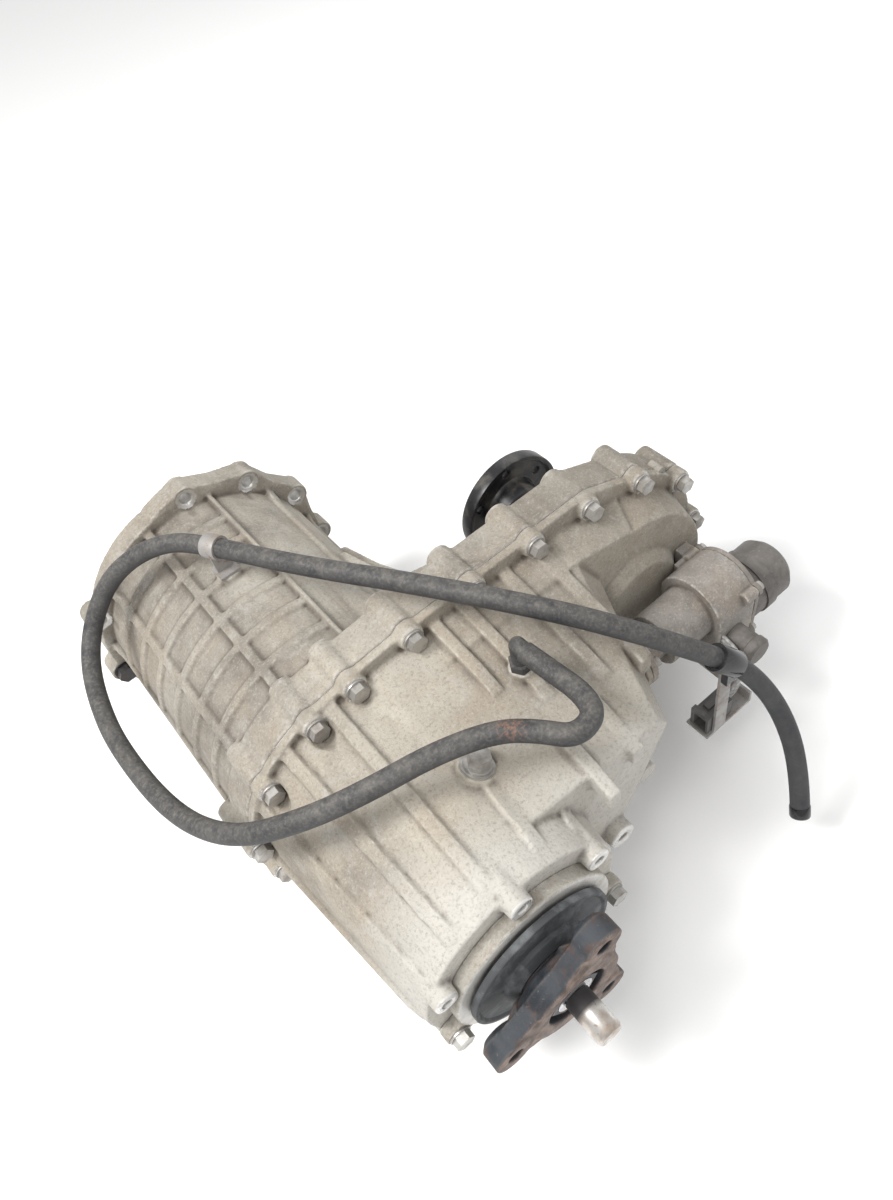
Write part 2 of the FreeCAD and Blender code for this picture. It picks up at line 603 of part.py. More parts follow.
# ---------------------------------------------------------------- bearings and seals
def bearing(label, ri, ro, ya, yb, x=0, n=10):
    t = (ro - ri) * 0.3
    yb = float(yb)
    ya = float(ya)
    rc = (ri + ro) / 2.0
    gap = ro - ri - 2 * t
    rb = gap / 2.0 + t * 0.32
    items = []
    for tag, a, b in (("inner", ri, ri + t), ("outer", ro - t, ro)):
        race = ring("%s_%s" % (label, tag), a, b, ya, yb, x)
        tor = doc.addObject("Part::Torus", "%s_%s_track" % (label, tag))
        bind(tor, "Radius1", rc)
        bind(tor, "Radius2", rb + 0.08)
        put(tor, x, -(ya + yb) / 2.0, 0, ROT["-Y"])
        items.append(cut("%s_%s_race" % (label, tag), race, [tor]))
    for i in range(n):
        s = doc.addObject("Part::Sphere", "%s_ball_%d" % (label, i))
        bind(s, "Radius", rb)
        a = 2 * math.pi * i / n
        put(s, q(x) + rc * math.cos(a), -(ya + yb) / 2.0, rc * math.sin(a))
        items.append(s)
    node(group(label, items), label)


bearing("input_bearing", 25, 44.97, 184.6, 203.5)
bearing("rear_output_bearing", 20, 39.97, 430.5, 448.5)
bearing("front_output_bearing", 20, 39.97, 223.5, 241.5, d.shaft_gap)
bearing("front_inner_bearing", 17.5, 35.97, 299, 311.5, d.shaft_gap)


def seal(label, ri, ro, ya, yb, x=0):
    node(turned(label, [(ri, ya + 2), (ri + 1.4, ya), (ro, ya), (ro, yb), (ro - 2.5, yb), (ro - 2.5, ya + 2.5), (ri + 3, ya + 2.5), (ri + 2, yb - 1), (ri, yb - 2.5)], x), label)


seal("input_seal", 23.05, 31.97, 179, 184.5)
seal("rear_seal", 27.05, 39.97, 460.5, 470.5)
seal("front_seal", 24.05, 32.97, 197, 206.5, d.shaft_gap)

# ---------------------------------------------------------------- input and range gears
shaft = turned("is_shaft", [(15, 70), (22, 70), (23, 71), (23, 184), (24.95, 184.2), (24.95, 206), (27, 206), (27, d.gear_a),
                            (27, d.gear_b), (24.3, d.gear_b), (24.3, 221), (12, 221), (12, 208), (0, 208), (0, 140), (15, 140)])
sun = made("is_sun", gear_solid(30, 2, 31.4, 27.4, 22, 0.35).cut(Part.makeCylinder(26.5, 30, Vector(0, 2, 0), Vector(0, -1, 0))), 0, -d.gear_a, 0)
node(fuse("input_shaft", [shaft, sun]), "input_shaft")


space = Part.Face(gear_wire(54, 2, 56.4, 52.85, 0.35, True)).extrude(Vector(0, -24, 0))
space.rotate(Vector(0, 0, 0), Vector(0, 1, 0), 180.0 / 54)
space.translate(Vector(0, 1, 0))
rg = Part.makeCylinder(63.9, 22, Vector(0, 0, 0), Vector(0, -1, 0)).cut(space)
node(made("ring_gear", rg, 0, -d.gear_a, 0), "ring_gear")

for i in range(3):
    w = gear_solid(12, 2, 13.4, 9.6, 21, 0.35)
    w.rotate(Vector(0, 0, 0), Vector(0, 1, 0), 15)
    w = w.cut(Part.makeCylinder(5.05, 30, Vector(0, 2, 0), Vector(0, -1, 0)))
    x, z = pol(d.orbit_r, 120 * i)
    node(made("planet_gear_%d" % (i + 1), w, x, -d.gear_a - 0.5, z), "planet_gear_%d" % (i + 1))

parts = [ring("pc_front", 33, 49, 207, 211.5), ring("pc_back", 24.4, 50, 235, 241)]
for i in range(3):
    x, z = pol(d.orbit_r, 120 * i)
    parts.append(cyl("pc_pin_%d" % i, 5, 207, 241, x, z))
    x, z = pol(d.orbit_r, 60 + 120 * i)
    parts.append(cyl("pc_post_%d" % i, 7.5, 207, 241, x, z))
node(fuse("planet_carrier", parts), "planet_carrier")

node(turned("range_sleeve", [(18.05, 224), (24, 224), (24, 246), (33, 246), (33, 249), (27, 249), (27, 255), (33, 255), (33, 258), (18.05, 258)]), "range_sleeve")

# ---------------------------------------------------------------- shift parts
fork_ring = cyl("rf_ring_o", 41, 249.3, 254.7)
a = math.atan2(VAL["rail_z"], VAL["rail_x"])
ux, uz = math.cos(a), math.sin(a)
arm = plate("rf_arm", [(30 * ux - 14 * uz, 30 * uz + 14 * ux), (30 * ux + 14 * uz, 30 * uz - 14 * ux),
                       (d.rail_x + 8 * uz, d.rail_z - 8 * ux), (d.rail_x - 8 * uz, d.rail_z + 8 * ux)], 249.3, 254.7)
gapp = plate("rf_gap", [(0, 0), (-60 * uz - 12 * ux, 60 * ux - 12 * uz), (-70 * ux - 60 * uz, -70 * uz + 60 * ux),
                        (-70 * ux + 60 * uz, -70 * uz - 60 * ux), (60 * uz - 12 * ux, -60 * ux - 12 * uz)], 240, 262)
hub = cyl("rf_hub", 12, 247.5, 260, d.rail_x, d.rail_z)
node(cut("range_fork", fuse("rf_all", [fork_ring, arm, hub]), [cyl("rf_bore", 27.4, 240, 262), gapp, cyl("rf_railbore", d.rail_r, 240, 262, d.rail_x, d.rail_z)]), "range_fork")
blk = box("sr_block", 115, 131, d.act_y - 15, d.act_y + 3, d.rail_z - 9, d.rail_z + 9)
slot = box("sr_slot", 114, 122.6, d.act_y - 10.3, d.act_y - 1.7, d.rail_z - 10, d.rail_z + 10)
node(cut("shift_rail", fuse("sr_all", [cyl("sr_rod", d.rail_r, 216, 402, d.rail_x, d.rail_z), blk]), [slot]), "shift_rail")

LEVER = 42.0
tilt = math.asin(6.0 / LEVER)
py, pz = 6.0, LEVER * math.cos(tilt)
arm = doc.addObject("PartDesign::Body", "sh_arm")
sk = new_sketch(arm, "sh_arm_outline", "YZ_Plane")
uy, uz2 = py / LEVER, pz / LEVER
outline(sk, [(-9 * uz2, 9 * uy), (9 * uz2, -9 * uy), (py + 6 * uz2, pz + 3 * uz2), (py + 3 * uy, pz + 6), (py - 6 * uz2, pz + 3 * uz2)])
pad = arm.newObject("PartDesign::Pad", "sh_arm_pad")
pad.Profile = sk
bind(pad, "Length", 6)
arm.Tip = pad
put(arm, 108, -d.act_y, d.act_z)
node(fuse("shift_shaft", [cylx("sh_rod", 8, 104, 312, -d.act_y, d.act_z), cylx("sh_hub", 12.5, 104, 116, -d.act_y, d.act_z), arm,
                          cylx("sh_pin", 4, 112, 121.5, -d.act_y + py, d.act_z + pz)]), "shift_shaft")


def wheel_x(n, m, tip, root, width, bore, thin, turn=0.0):
    g = gear_solid(n, m, tip, root, width, thin)
    if turn:
        g.rotate(Vector(0, 0, 0), Vector(0, 1, 0), turn)
    g.rotate(Vector(0, 0, 0), Vector(0, 0, 1), 90)
    return g.cut(Part.makeCylinder(bore, 4 * width, Vector(-2 * width, 0, 0), Vector(1, 0, 0)))


# wheel teeth start on a tooth pointing down at the pinion, the pinion on a gap pointing up
big = wheel_x(48, 1, 24.8, 22.8, 10, 8, 0.25)
node(made("actuator_gear", big, 296, -d.act_y, d.act_z), "actuator_gear")
small = wheel_x(12, 1, 6.8, 4.8, 14, 3, 0.25, 15.0)
body = doc.addObject("PartDesign::Body", "mr_shaft")
sk = new_sketch(body, "mr_shaft_profile", "XY_Plane")
outline(sk, [(287, 0), (287, 3), (344, 3), (344, 19), (380, 19), (380, 4), (385, 4), (385, 0)])
rev = body.newObject("PartDesign::Revolution", "mr_shaft_turn")
rev.Profile = sk
rev.ReferenceAxis = (sk, ["H_Axis"])
rev.Angle = 360
body.Tip = rev
put(body, 0, -d.act_y, d.act_z - d.act_gap)
node(fuse("motor_rotor", [body, made("mr_pinion", small, 294, -d.act_y, d.act_z - d.act_gap)]), "motor_rotor")


def hull_x(name, r1, r2, xa, xb, grow=0):
    """Actuator case outline: round about both gear centres."""
    y, z, z2 = -d.act_y, d.act_z, d.act_z - d.act_gap
    a = cylx(name + "_a", r1, xa, xb, y, z)
    b = cylx(name + "_b", r2, xa, xb, y, z2)
    c = doc.addObject("PartDesign::Body", name + "_c")
    s = new_sketch(c, name + "_c_outline", "YZ_Plane")
    outline(s, [(-q(r1), 0), (q(r1), 0), (q(r2), -d.act_gap), (-q(r2), -d.act_gap)])
    p = c.newObject("PartDesign::Pad", name + "_c_pad")
    p.Profile = s
    bind(p, "Length", q(xb) - xa)
    c.Tip = p
    put(c, xa, y, z)
    return [a, b, c]


parts = hull_x("ah_o", 33, 32, 284, 326)
parts.append(box("ah_arm", 300, 326, 316.3, 330, -28, 18))
parts.append(box("ah_arm_tip", 312.7, 326, 306.2, 318, -28, 18))
parts.append(cylx("ah_collar", 24.5, 240, 286, -d.act_y, d.act_z))
parts += [cylx("ah_neck", 15, 214, 286, -d.act_y, d.act_z), cylx("ah_flange", 26, 214, 220, -d.act_y, d.act_z)]
parts.append(box("ah_stay", 230, 286, d.act_y - 4, d.act_y + 4, -26, 0))
for i, (yy, zz) in enumerate(((-30, 14), (30, 14), (-29, -44), (29, -44))):
    parts.append(cylx("ah_ear_%d" % i, 6, 312, 326, -d.act_y + yy, zz))
bores = hull_x("ah_i", 27, 24, 290, 327)
bores += [cylx("ah_bore", 8.05, 213, 292, -d.act_y, d.act_z), cylx("ah_pinion_bore", 3.05, 286, 292, -d.act_y, d.act_z - d.act_gap)]
for i, (yy, zz) in enumerate(((-30, 14), (30, 14), (-29, -44), (29, -44))):
    bores.append(cylx("ah_tap_%d" % i, 2.0, 314, 327, -d.act_y + yy, zz))
for i, ang in enumerate((40, 160, 280)):
    bores.append(cylx("ah_clear_%d" % i, 2.2, 213, 221, -d.act_y + 20.5 * math.cos(math.radians(ang)), d.act_z + 20.5 * math.sin(math.radians(ang))))
node(cut("actuator_housing", fuse("ah_outer", parts), bores), "actuator_housing")

parts = hull_x("ac_o", 33, 32, 326, 330)
parts.append(cylx("ac_bump", 12, 329, 334, -d.act_y, d.act_z))
for i, (yy, zz) in enumerate(((-30, 14), (30, 14), (-29, -44), (29, -44))):
    parts.append(cylx("ac_ear_%d" % i, 6, 326, 330, -d.act_y + yy, zz))
bores = [cylx("ac_pass", 5, 325, 331, -d.act_y, d.act_z - d.act_gap), cylx("ac_can_room", d.can_r + 0.15, 330, 336, -d.act_y, d.act_z - d.act_gap)]
for i, (yy, zz) in enumerate(((-30, 14), (30, 14), (-29, -44), (29, -44))):
    bores.append(cylx("ac_clear_%d" % i, 2.2, 325, 331, -d.act_y + yy, zz))
node(cut("actuator_cover", fuse("ac_outer", parts), bores), "actuator_cover")

body = doc.addObject("PartDesign::Body", "mc_can")
sk = new_sketch(body, "mc_can_profile", "XY_Plane")
outline(sk, [(330, 5.2), (330, 27), (334, 27), (334, d.can_r), (d.can_end - 8, d.can_r), (d.can_end - 2, d.can_r - 5), (d.can_end, d.can_r - 14), (d.can_end, 0),
             (386.5, 0), (386.5, 4.1), (382, 4.1), (382, 25), (336, 25), (336, 5.2)])
rev = body.newObject("PartDesign::Revolution", "mc_can_turn")
rev.Profile = sk
rev.ReferenceAxis = (sk, ["H_Axis"])
rev.Angle = 360
body.Tip = rev
put(body, 0, -d.act_y, d.act_z - d.act_gap)
node(body, "motor_can")
node(cut("motor_strap", cylx("ms_o", d.can_r + 1.6, 352, 364, -d.act_y, d.act_z - d.act_gap), [cylx("ms_i", d.can_r, 351, 365, -d.act_y, d.act_z - d.act_gap)]), "motor_strap")


def screw_x(name, x, y, z, length, r, head_r, head, side=1):
    if side > 0:
        return fuse(name, [cylx(name + "_head", head_r, x, x + head, y, z), cylx(name + "_shank", r, x - length, x + 0.5, y, z)])
    return fuse(name, [cylx(name + "_head", head_r, x - head, x, y, z), cylx(name + "_shank", r, x - 0.5, x + length, y, z)])


sc = [screw_x("acs_%d" % i, 330, -d.act_y + yy, zz, 14, 1.95, 4.2, 4) for i, (yy, zz) in enumerate(((-30, 14), (30, 14), (-29, -44), (29, -44)))]
node(group("actuator_screws", sc), "actuator_screws")
sc = [screw_x("afs_%d" % i, 220, -d.act_y + 20.5 * math.cos(math.radians(ang)), d.act_z + 20.5 * math.sin(math.radians(ang)), 15, 1.95, 4.2, 5)
      for i, ang in enumerate((40, 160, 280))]
node(group("actuator_mount_screws", sc), "actuator_mount_screws")

# ---------------------------------------------------------------- main shaft and clutch
osh = turned("os_turned", [(11.95, 209), (11.95, 221.5), (d.out_r, 221.5), (d.out_r, 426), (19.95, 426), (19.95, 455), (20, 455), (20, 499),
                           (15, 499), (15, 508), (9, 508), (9, 480), (0, 480), (0, 209)])
node(osh, "output_shaft")
node(turned("centring_pin", [(0, 480), (9, 480), (9, 509), (d.pin_r, 509), (d.pin_r, d.pin_tip - 2), (d.pin_r - 1.5, d.pin_tip), (0, d.pin_tip)]), "centring_pin")
node(turned("clutch_hub", [(18, 324), (30, 324), (30, 330), (39.6, 330), (39.6, 376), (34, 376), (34, 336), (18, 336)]), "clutch_hub")
fr, st = [], []
for i in range(8):
    fr.append(ring("fp_%d" % i, 39.9, 61, 333 + 5 * i, 335 + 5 * i))
for i in range(7):
    st.append(ring("sp_%d" % i, 46, 65.7, 335.4 + 5 * i, 337.6 + 5 * i))
node(group("friction_plates", fr), "friction_plates")
node(group("steel_plates", st), "steel_plates")
node(turned("pressure_plate", [(44, 371), (65.7, 371), (65.7, 379), (52, 383), (44, 383)]), "pressure_plate")
node(turned("clutch_drum", [(24, 310), (36, 310), (36, 316), (d.drum_r, 316), (d.drum_r, 394), (66, 394), (66, 322), (24, 322)]), "clutch_drum")


def sprocket(label, bore, x, ya=274.0, yb=298.0, n=36):
    pts = []
    for k in range(n):
        c = 2 * math.pi * k / n
        h = math.pi / n
        for r, a in ((55.5, -0.86), (60.0, -0.42), (60.0, 0.42), (55.5, 0.86)):
            pts.append(Vector(r * math.cos(c + a * h), 0, r * math.sin(c + a * h)))
    f = Part.Face(Part.makePolygon(pts + [pts[0]])).extrude(Vector(0, -(yb - ya), 0))
    f = f.cut(Part.makeCylinder(bore, 60, Vector(0, 10, 0), Vector(0, -1, 0)))
    grv = Part.makeCylinder(48, 7, Vector(0, 1, 0), Vector(0, -1, 0)).cut(Part.makeCylinder(30, 9, Vector(0, 2, 0), Vector(0, -1, 0)))
    f = f.cut(grv)
    return made(label, f, x, -ya, 0)


dsp = sprocket("ds_wheel", 18.05, 0)
node(fuse("drive_sprocket", [dsp, ring("ds_neck", 18.05, 36, 297, 310)]), "drive_sprocket")
node(sprocket("driven_sprocket", 18, d.shaft_gap), "driven_sprocket")


def chain_shape():
    ri, ro, gap, w = VAL["chain_in"], VAL["chain_out"], VAL["shaft_gap"], VAL["chain_b"] - VAL["chain_a"]
    rm = (ri + ro) / 2.0
    per = 2 * gap + 2 * math.pi * rm
    n = 98

    def at(s, off):
        s = s % per
        if s < gap:
            return s, rm + off
        s -= gap
        if s < math.pi * rm:
            a = math.pi / 2 - s / rm
            return gap + (rm + off) * math.cos(a), (rm + off) * math.sin(a)
        s -= math.pi * rm
        if s < gap:
            return gap - s, -(rm + off)
        s -= gap
        a = -math.pi / 2 - s / rm
        return (rm + off) * math.cos(a), (rm + off) * math.sin(a)

    pitch = per / n
    outer = []
    for k in range(n):
        for f, off in ((0.06, ro - rm - 1.4), (0.14, ro - rm), (0.86, ro - rm), (0.94, ro - rm - 1.4)):
            x, z = at((k + f) * pitch, off)
            outer.append(Vector(x, 0, z))
    body = Part.Face(Part.makePolygon(outer + [outer[0]])).extrude(Vector(0, -w, 0))
    a = Part.makeCylinder(ri, w + 4, Vector(0, 2, 0), Vector(0, -1, 0))
    b = Part.makeCylinder(ri, w + 4, Vector(gap, 2, 0), Vector(0, -1, 0))
    c = Part.makeBox(gap, w + 4, 2 * ri, Vector(0, -w - 2, -ri))
    return body.cut(a.fuse([b, c]))


node(made("chain", chain_shape(), 0, -d.chain_a, 0), "chain")

# oil pump at the back of the main lobe
node(cut("pump_body", cyl("pb_o", 59.9, 400, 424), [cyl("pb_bore", 18.6, 399, 425), cyl("pb_room", 30.5, 403, 420)]), "pump_body")
node(turned("pump_rotor", [(18, 404), (30, 404), (30, 419), (18, 419)]), "pump_rotor")

# ---------------------------------------------------------------- rear flange
fl = [turned("rf2_hub", [(20, 455), (27, 455), (27, 487), (36, 490), (40, 496), (38, d.arm_y), (20, d.arm_y)])]
ARMS = (60, 180, 300)
for i, a in enumerate(ARMS):
    x, z = pol(d.arm_r, a)
    fl.append(cyl("rf2_lobe_%d" % i, 15.5, 495, d.arm_y, x, z))
    fl.append(cone("rf2_lobe_foot_%d" % i, 11, 15.5, 491, 495, x, z))
    ux, uz = math.cos(math.radians(a)), math.sin(math.radians(a))
    fl.append(plate("rf2_arm_%d" % i, [(10 * ux - 34 * uz, 10 * uz + 34 * ux), (10 * ux + 34 * uz, 10 * uz - 34 * ux),
                                       (54 * ux + 15 * uz, 54 * uz - 15 * ux), (54 * ux - 15 * uz, 54 * uz + 15 * ux)], 495, d.arm_y - 1.5))
for i, a in enumerate(ARMS):
    fl.append(rib("rf2_web_%d" % i, [(487, 22), (487, 34), (495, 50), (507, 54), (507, 22)], 23, 0, a))
bores = [cyl("rf2_nut_room", 24.5, 499, 512)]
for i, a in enumerate(ARMS):
    x, z = pol(d.arm_r, a)
    bores.append(cyl("rf2_hole_%d" % i, 6.0, 480, 514, x, z))
node(cut("rear_flange", fuse("rf2_all", fl), bores), "rear_flange")
nut = doc.addObject("Part::Prism", "rn_hex")
nut.Polygon = 6
bind(nut, "Circumradius", 20.8)
bind(nut, "Height", 7.5)
put(nut, 0, -500, 0, ROT["-Y"])
node(cut("rear_flange_nut", fuse("rn_all", [nut, cyl("rn_washer", 23.5, 499, 501)]), [cyl("rn_bore", 15, 498, 510)]), "rear_flange_nut")
node(turned("dust_shield", [(27, 476), (27, 485.5), (29, 485.5), (36, 481), (36, 477.5), (50, 476.2), (55, 476.2), (57, 477.6), (d.shield_r - 0.6, 477.6), (d.shield_r, 476.8),
                            (d.shield_r, 472.4), (d.shield_r - 1.6, 472.4), (d.shield_r - 1.6, 475.6), (56.5, 475.6), (55, 474.2), (49, 474.2), (35, 475.2), (33, 476)]), "dust_shield")

# ---------------------------------------------------------------- front output
g = d.shaft_gap
node(turned("front_output_shaft", [(0, 311), (17.45, 311), (17.45, 298.5), (18, 298.5), (18, 270), (25, 270), (25, 242), (19.95, 242), (19.95, 221), (19, 221),
                                   (19, 148), (12, 148), (12, 138.5), (0, 138.5)], g), "front_output_shaft")
cf = turned("cf_turned", [(19, 220), (24, 220), (24, 168), (28, 164), (28, d.comp_b), (30, 146), (48, 146), (50, d.comp_b), (d.comp_r, d.comp_b), (d.comp_r, d.comp_a),
                          (21, d.comp_a), (21, 148), (19, 148)], g)
holes = []
for i in range(6):
    x, z = pol(40, 30 + 60 * i)
    holes.append(cyl("cf_hole_%d" % i, 4.1, 130, 160, g + x, z))
node(cut("front_flange", cf, holes), "front_flange")
nut = doc.addObject("Part::Prism", "fn_hex")
nut.Polygon = 6
bind(nut, "Circumradius", 18.4)
bind(nut, "Height", 8)
put(nut, g, -147.9, 0, ROT["Y"])
node(cut("front_flange_nut", nut, [cyl("fn_bore", 12, 138, 149, g)]), "front_flange_nut")

# ---------------------------------------------------------------- plugs and breather
tilt24 = Rotation(Vector(0, 1, 0), 24)
s24, c24 = math.sin(math.radians(24)), math.cos(math.radians(24))


def tilted(kind, name, r, h, along, six=False):
    """Round or six-sided solid on the fill plug's slanted axis."""
    o = doc.addObject(kind, name)
    if six:
        o.Polygon = 6
        bind(o, "Circumradius", r)
    else:
        bind(o, "Radius", r)
    bind(o, "Height", h)
    return put(o, 26 + along * s24, -379, 58.5 + along * c24, tilt24)


fill = fuse("pl_fill", [tilted("Part::Cylinder", "pl_fill_shank", 7.9, 15, 20.6), tilted("Part::Cylinder", "pl_fill_flange", 10.5, 2.5, 35.6),
                        tilted("Part::Prism", "pl_fill_hex", 8.6, 8, 38, True)])
dr = [cylz("pl_drain_shank", 7.9, -100.6, -86, 60, -350), cylz("pl_drain_flange", 10.5, -103.1, -100.6, 60, -350)]
hx = doc.addObject("Part::Prism", "pl_drain_hex")
hx.Polygon = 6
bind(hx, "Circumradius", 8.6)
bind(hx, "Height", 8)
put(hx, 60, -350, -111)
node(group("oil_plugs", [fill, fuse("pl_drain", dr + [hx])]), "oil_plugs")
node(group("plug_washers", [cut("pw_fill", tilted("Part::Cylinder", "pw_fill_o", 12.5, 1.6, 34), [tilted("Part::Cylinder", "pw_fill_i", 8.0, 3, 33)]),
                            cut("pw_drain", cylz("pw_drain_o", 12.5, -100.6, -99, 60, -350), [cylz("pw_drain_i", 8.0, -101, -98, 60, -350)])]), "plug_washers")

# breather elbow on its boss, with the barb that the hose is pushed over
bx, by = 112.0, -344.0
hx = doc.addObject("Part::Prism", "be_hex")
hx.Polygon = 6
bind(hx, "Circumradius", 9.2)
bind(hx, "Height", 7)
put(hx, bx, by, 97)
knee = doc.addObject("Part::Sphere", "be_knee")
bind(knee, "Radius", 6.4)
put(knee, bx, by, 122)
node(fuse("breather_elbow", [hx, cylz("be_shank", 3.97, 84, 98, bx, by), cylz("be_post", 6.4, 103, 122, bx, by), knee,
                             cyl("be_neck", 6.4, 344, 352, bx, 122), cyl("be_barb", 4.7, 350, 366, bx, 122)]), "breather_elbow")


# ---------------------------------------------------------------- vent hose and leads
def tube(route, ro, ri=0, label=""):
    """Round tube along straight runs joined by tangent arcs."""
    v = [Vector(*p) for p in route]
    edges, last, length = [], v[0], 0.0
    for i in range(1, len(v) - 1):
        a, b = v[i - 1] - v[i], v[i + 1] - v[i]
        la, lb = a.Length, b.Length
        a.normalize()
        b.normalize()
        turn = math.pi - a.getAngle(b)
        t = 0.45 * min(la, lb)
        r = t / math.tan(turn / 2)
        p, n = v[i] + a * t, v[i] + b * t
        mid = a + b
        mid.normalize()
        m = v[i] + mid * (math.sqrt(r * r + t * t) - r)
        print("%s point %d: turn %.1f deg, radius %.1f mm, %.1f diameters" % (label, i, math.degrees(turn), r, r / (2 * ro)))
        edges.append(Part.LineSegment(last, p).toShape())
        edges.append(Part.Arc(p, m, n).toShape())
        last = n
    edges.append(Part.LineSegment(last, v[-1]).toShape())
    wire = Part.Wire(edges)
    start = v[1] - v[0]

    def pipe(rad):
        ring = Part.Wire([Part.makeCircle(rad, v[0], start)])
        return wire.makePipeShell([ring], True, False)

    solid = pipe(ro)
    area = math.pi * ro * ro
    if ri:
        solid = solid.cut(pipe(ri))
        area -= math.pi * ri * ri
    print("%s length %.1f mm, volume %.0f, section times length %.0f" % (label, wire.Length, solid.Volume, area * wire.Length))
    return solid


HOSE = [(112, -352, 122), (113.5, -377.5, 124), (115, -404, 127.5), (108.5, -424, 131), (88, -427, 132),
        (74.5, -408.5, 133), (55, -389, 132.5), (16, -372.5, 130), (-26.5, -362, 126), (-68.5, -345, 116.5),
        (-115, -305, 87.5), (-140.5, -244, 68), (-147.5, -154.5, 59), (-140.5, -103, 61), (-128, -71.5, 70.5),
        (-107, -54, 88.5), (-78, -49.5, 112), (-48.5, -60, 128), (-23, -81, 138.5), (-4, -108, 140), (36, -192, 149),
        (89, -284, 157), (139, -360, 150), (177, -396, 122), (213, -418, 84), (247, -434, 44), (262, -460, 0),
        (255, -491, -45), (238, -510.5, -81.5)]
node(made("vent_hose", tube(HOSE, VAL["hose_r"], 4.75, "hose")), "vent_hose")


def on_axis(name, r, length, c, way, back=None):
    """Cylinder centred at c along a slanting way."""
    w = Vector(*way)
    w.normalize()
    o = doc.addObject("Part::Cylinder", name)
    bind(o, "Radius", r)
    bind(o, "Height", length)
    half = length / 2.0
    return put(o, c[0] - w.x * half, c[1] - w.y * half, c[2] - w.z * half, Rotation(Vector(0, 0, 1), w))


# clip on the bell: a loop round the hose standing on a pad
top = (0.0, -116.4, 140.9)
way = (40, -84, 9)
node(cut("hose_bracket", fuse("hb_all", [on_axis("hb_loop", d.hose_r + 2.2, 14, top, way), box("hb_leg", -7, 7, 112.4, 116.4, 113, 136),
                                         box("hb_foot", -9, 9, 108, 124, 111.5, 114)]), [on_axis("hb_eye", d.hose_r, 40, top, way)]), "hose_bracket")
# clip that holds the hose to the connector bracket
mid = (232.0, -426.9, 61.6)
way = (34, -16, -40)
tab = box("hc_tab", 238, 252, 421, 427, 18, 48)
node(cut("hose_clip", fuse("hc_all", [on_axis("hc_loop", d.hose_r + 2.8, 24, mid, way), tab]), [on_axis("hc_eye", d.hose_r, 60, mid, way)]), "hose_clip")
# connector, its bracket and leads
br = [box("cb_side", 281.5, 284, 355, 421, -64, -50), box("cb_shelf", 230, 284, 398, 421, -64, -61.5), box("cb_up", 238, 252, 418.5, 421, -64, 42)]
node(fuse("connector_bracket", br), "connector_bracket")
cn = [box("cn_body", 236, 262, 402, 418, -61.5, -40), box("cn_lip", 232, 237, 400.5, 418.2, -61.5, -38.5), box("cn_latch", 240, 256, 406, 412, -41, -36.5)]
node(cut("connector", fuse("cn_all", cn), [box("cn_room", 230, 250, 404, 416, -59, -43)]), "connector")
leads = []
for k in range(3):
    leads.append(made("lead_%d" % k, tube([(288, -382, -10 - 6 * k), (287, -402, -14 - 6 * k), (276, -413, -31 - 5 * k), (262, -410, -44 - 5 * k)], 1.6, 0, "lead %d" % (k + 1))))
node(group("connector_wires", leads), "connector_wires")
cap = doc.addObject("PartDesign::Body", "side_cap")
sk = new_sketch(cap, "side_cap_profile", "XY_Plane")
outline(sk, [(0, -383), (12, -383), (12, -401), (13, -402), (13, -408), (11, -410.5), (0, -410.5)])
rev = cap.newObject("PartDesign::Revolution", "side_cap_turn")
rev.Profile = sk
rev.ReferenceAxis = (sk, ["V_Axis"])
rev.Angle = 360
cap.Tip = rev
put(cap, 302, 0, -22)
node(cap, "side_cap")

# ---------------------------------------------------------------- write the parts
doc.recompute()
bad = [o.Name for o in doc.Objects if "Invalid" in o.State or "Error" in o.State]
if bad:
    raise SystemExit("not built: " + ", ".join(bad))
for o in NODES:
    if o.Shape.isNull() or not o.Shape.isValid() or not o.Shape.Solids:
        raise SystemExit("bad shape: " + o.Label)
os.makedirs("parts", exist_ok=True)
for o in NODES:
    o.Shape.exportStep("parts/%s.step" % o.Label)
    print("%s: %d solids, %.0f mm3" % (o.Label, len(o.Shape.Solids), o.Shape.Volume))
print("%d parts written" % len(NODES))
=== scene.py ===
import bpy
import bmesh
import math
import random
import numpy as np
from mathutils import Vector, Matrix


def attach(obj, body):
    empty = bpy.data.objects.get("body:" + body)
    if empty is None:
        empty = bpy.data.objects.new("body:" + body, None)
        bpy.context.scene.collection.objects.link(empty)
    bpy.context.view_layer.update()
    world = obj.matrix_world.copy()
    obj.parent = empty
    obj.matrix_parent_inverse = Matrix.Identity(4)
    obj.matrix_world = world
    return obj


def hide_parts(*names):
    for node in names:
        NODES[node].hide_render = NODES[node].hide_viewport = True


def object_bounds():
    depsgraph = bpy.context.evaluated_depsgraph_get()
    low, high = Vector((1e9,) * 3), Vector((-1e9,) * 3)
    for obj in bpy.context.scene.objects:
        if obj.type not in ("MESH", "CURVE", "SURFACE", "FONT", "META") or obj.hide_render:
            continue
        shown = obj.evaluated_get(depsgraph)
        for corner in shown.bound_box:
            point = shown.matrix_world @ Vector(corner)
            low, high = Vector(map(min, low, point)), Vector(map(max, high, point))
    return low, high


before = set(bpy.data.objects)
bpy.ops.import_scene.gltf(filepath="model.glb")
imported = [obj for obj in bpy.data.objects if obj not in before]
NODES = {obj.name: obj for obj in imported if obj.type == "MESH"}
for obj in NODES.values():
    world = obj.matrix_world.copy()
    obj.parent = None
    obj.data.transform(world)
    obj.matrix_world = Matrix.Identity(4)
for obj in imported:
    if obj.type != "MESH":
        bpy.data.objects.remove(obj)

CAD_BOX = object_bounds()
scene = bpy.context.scene
random.seed(11)

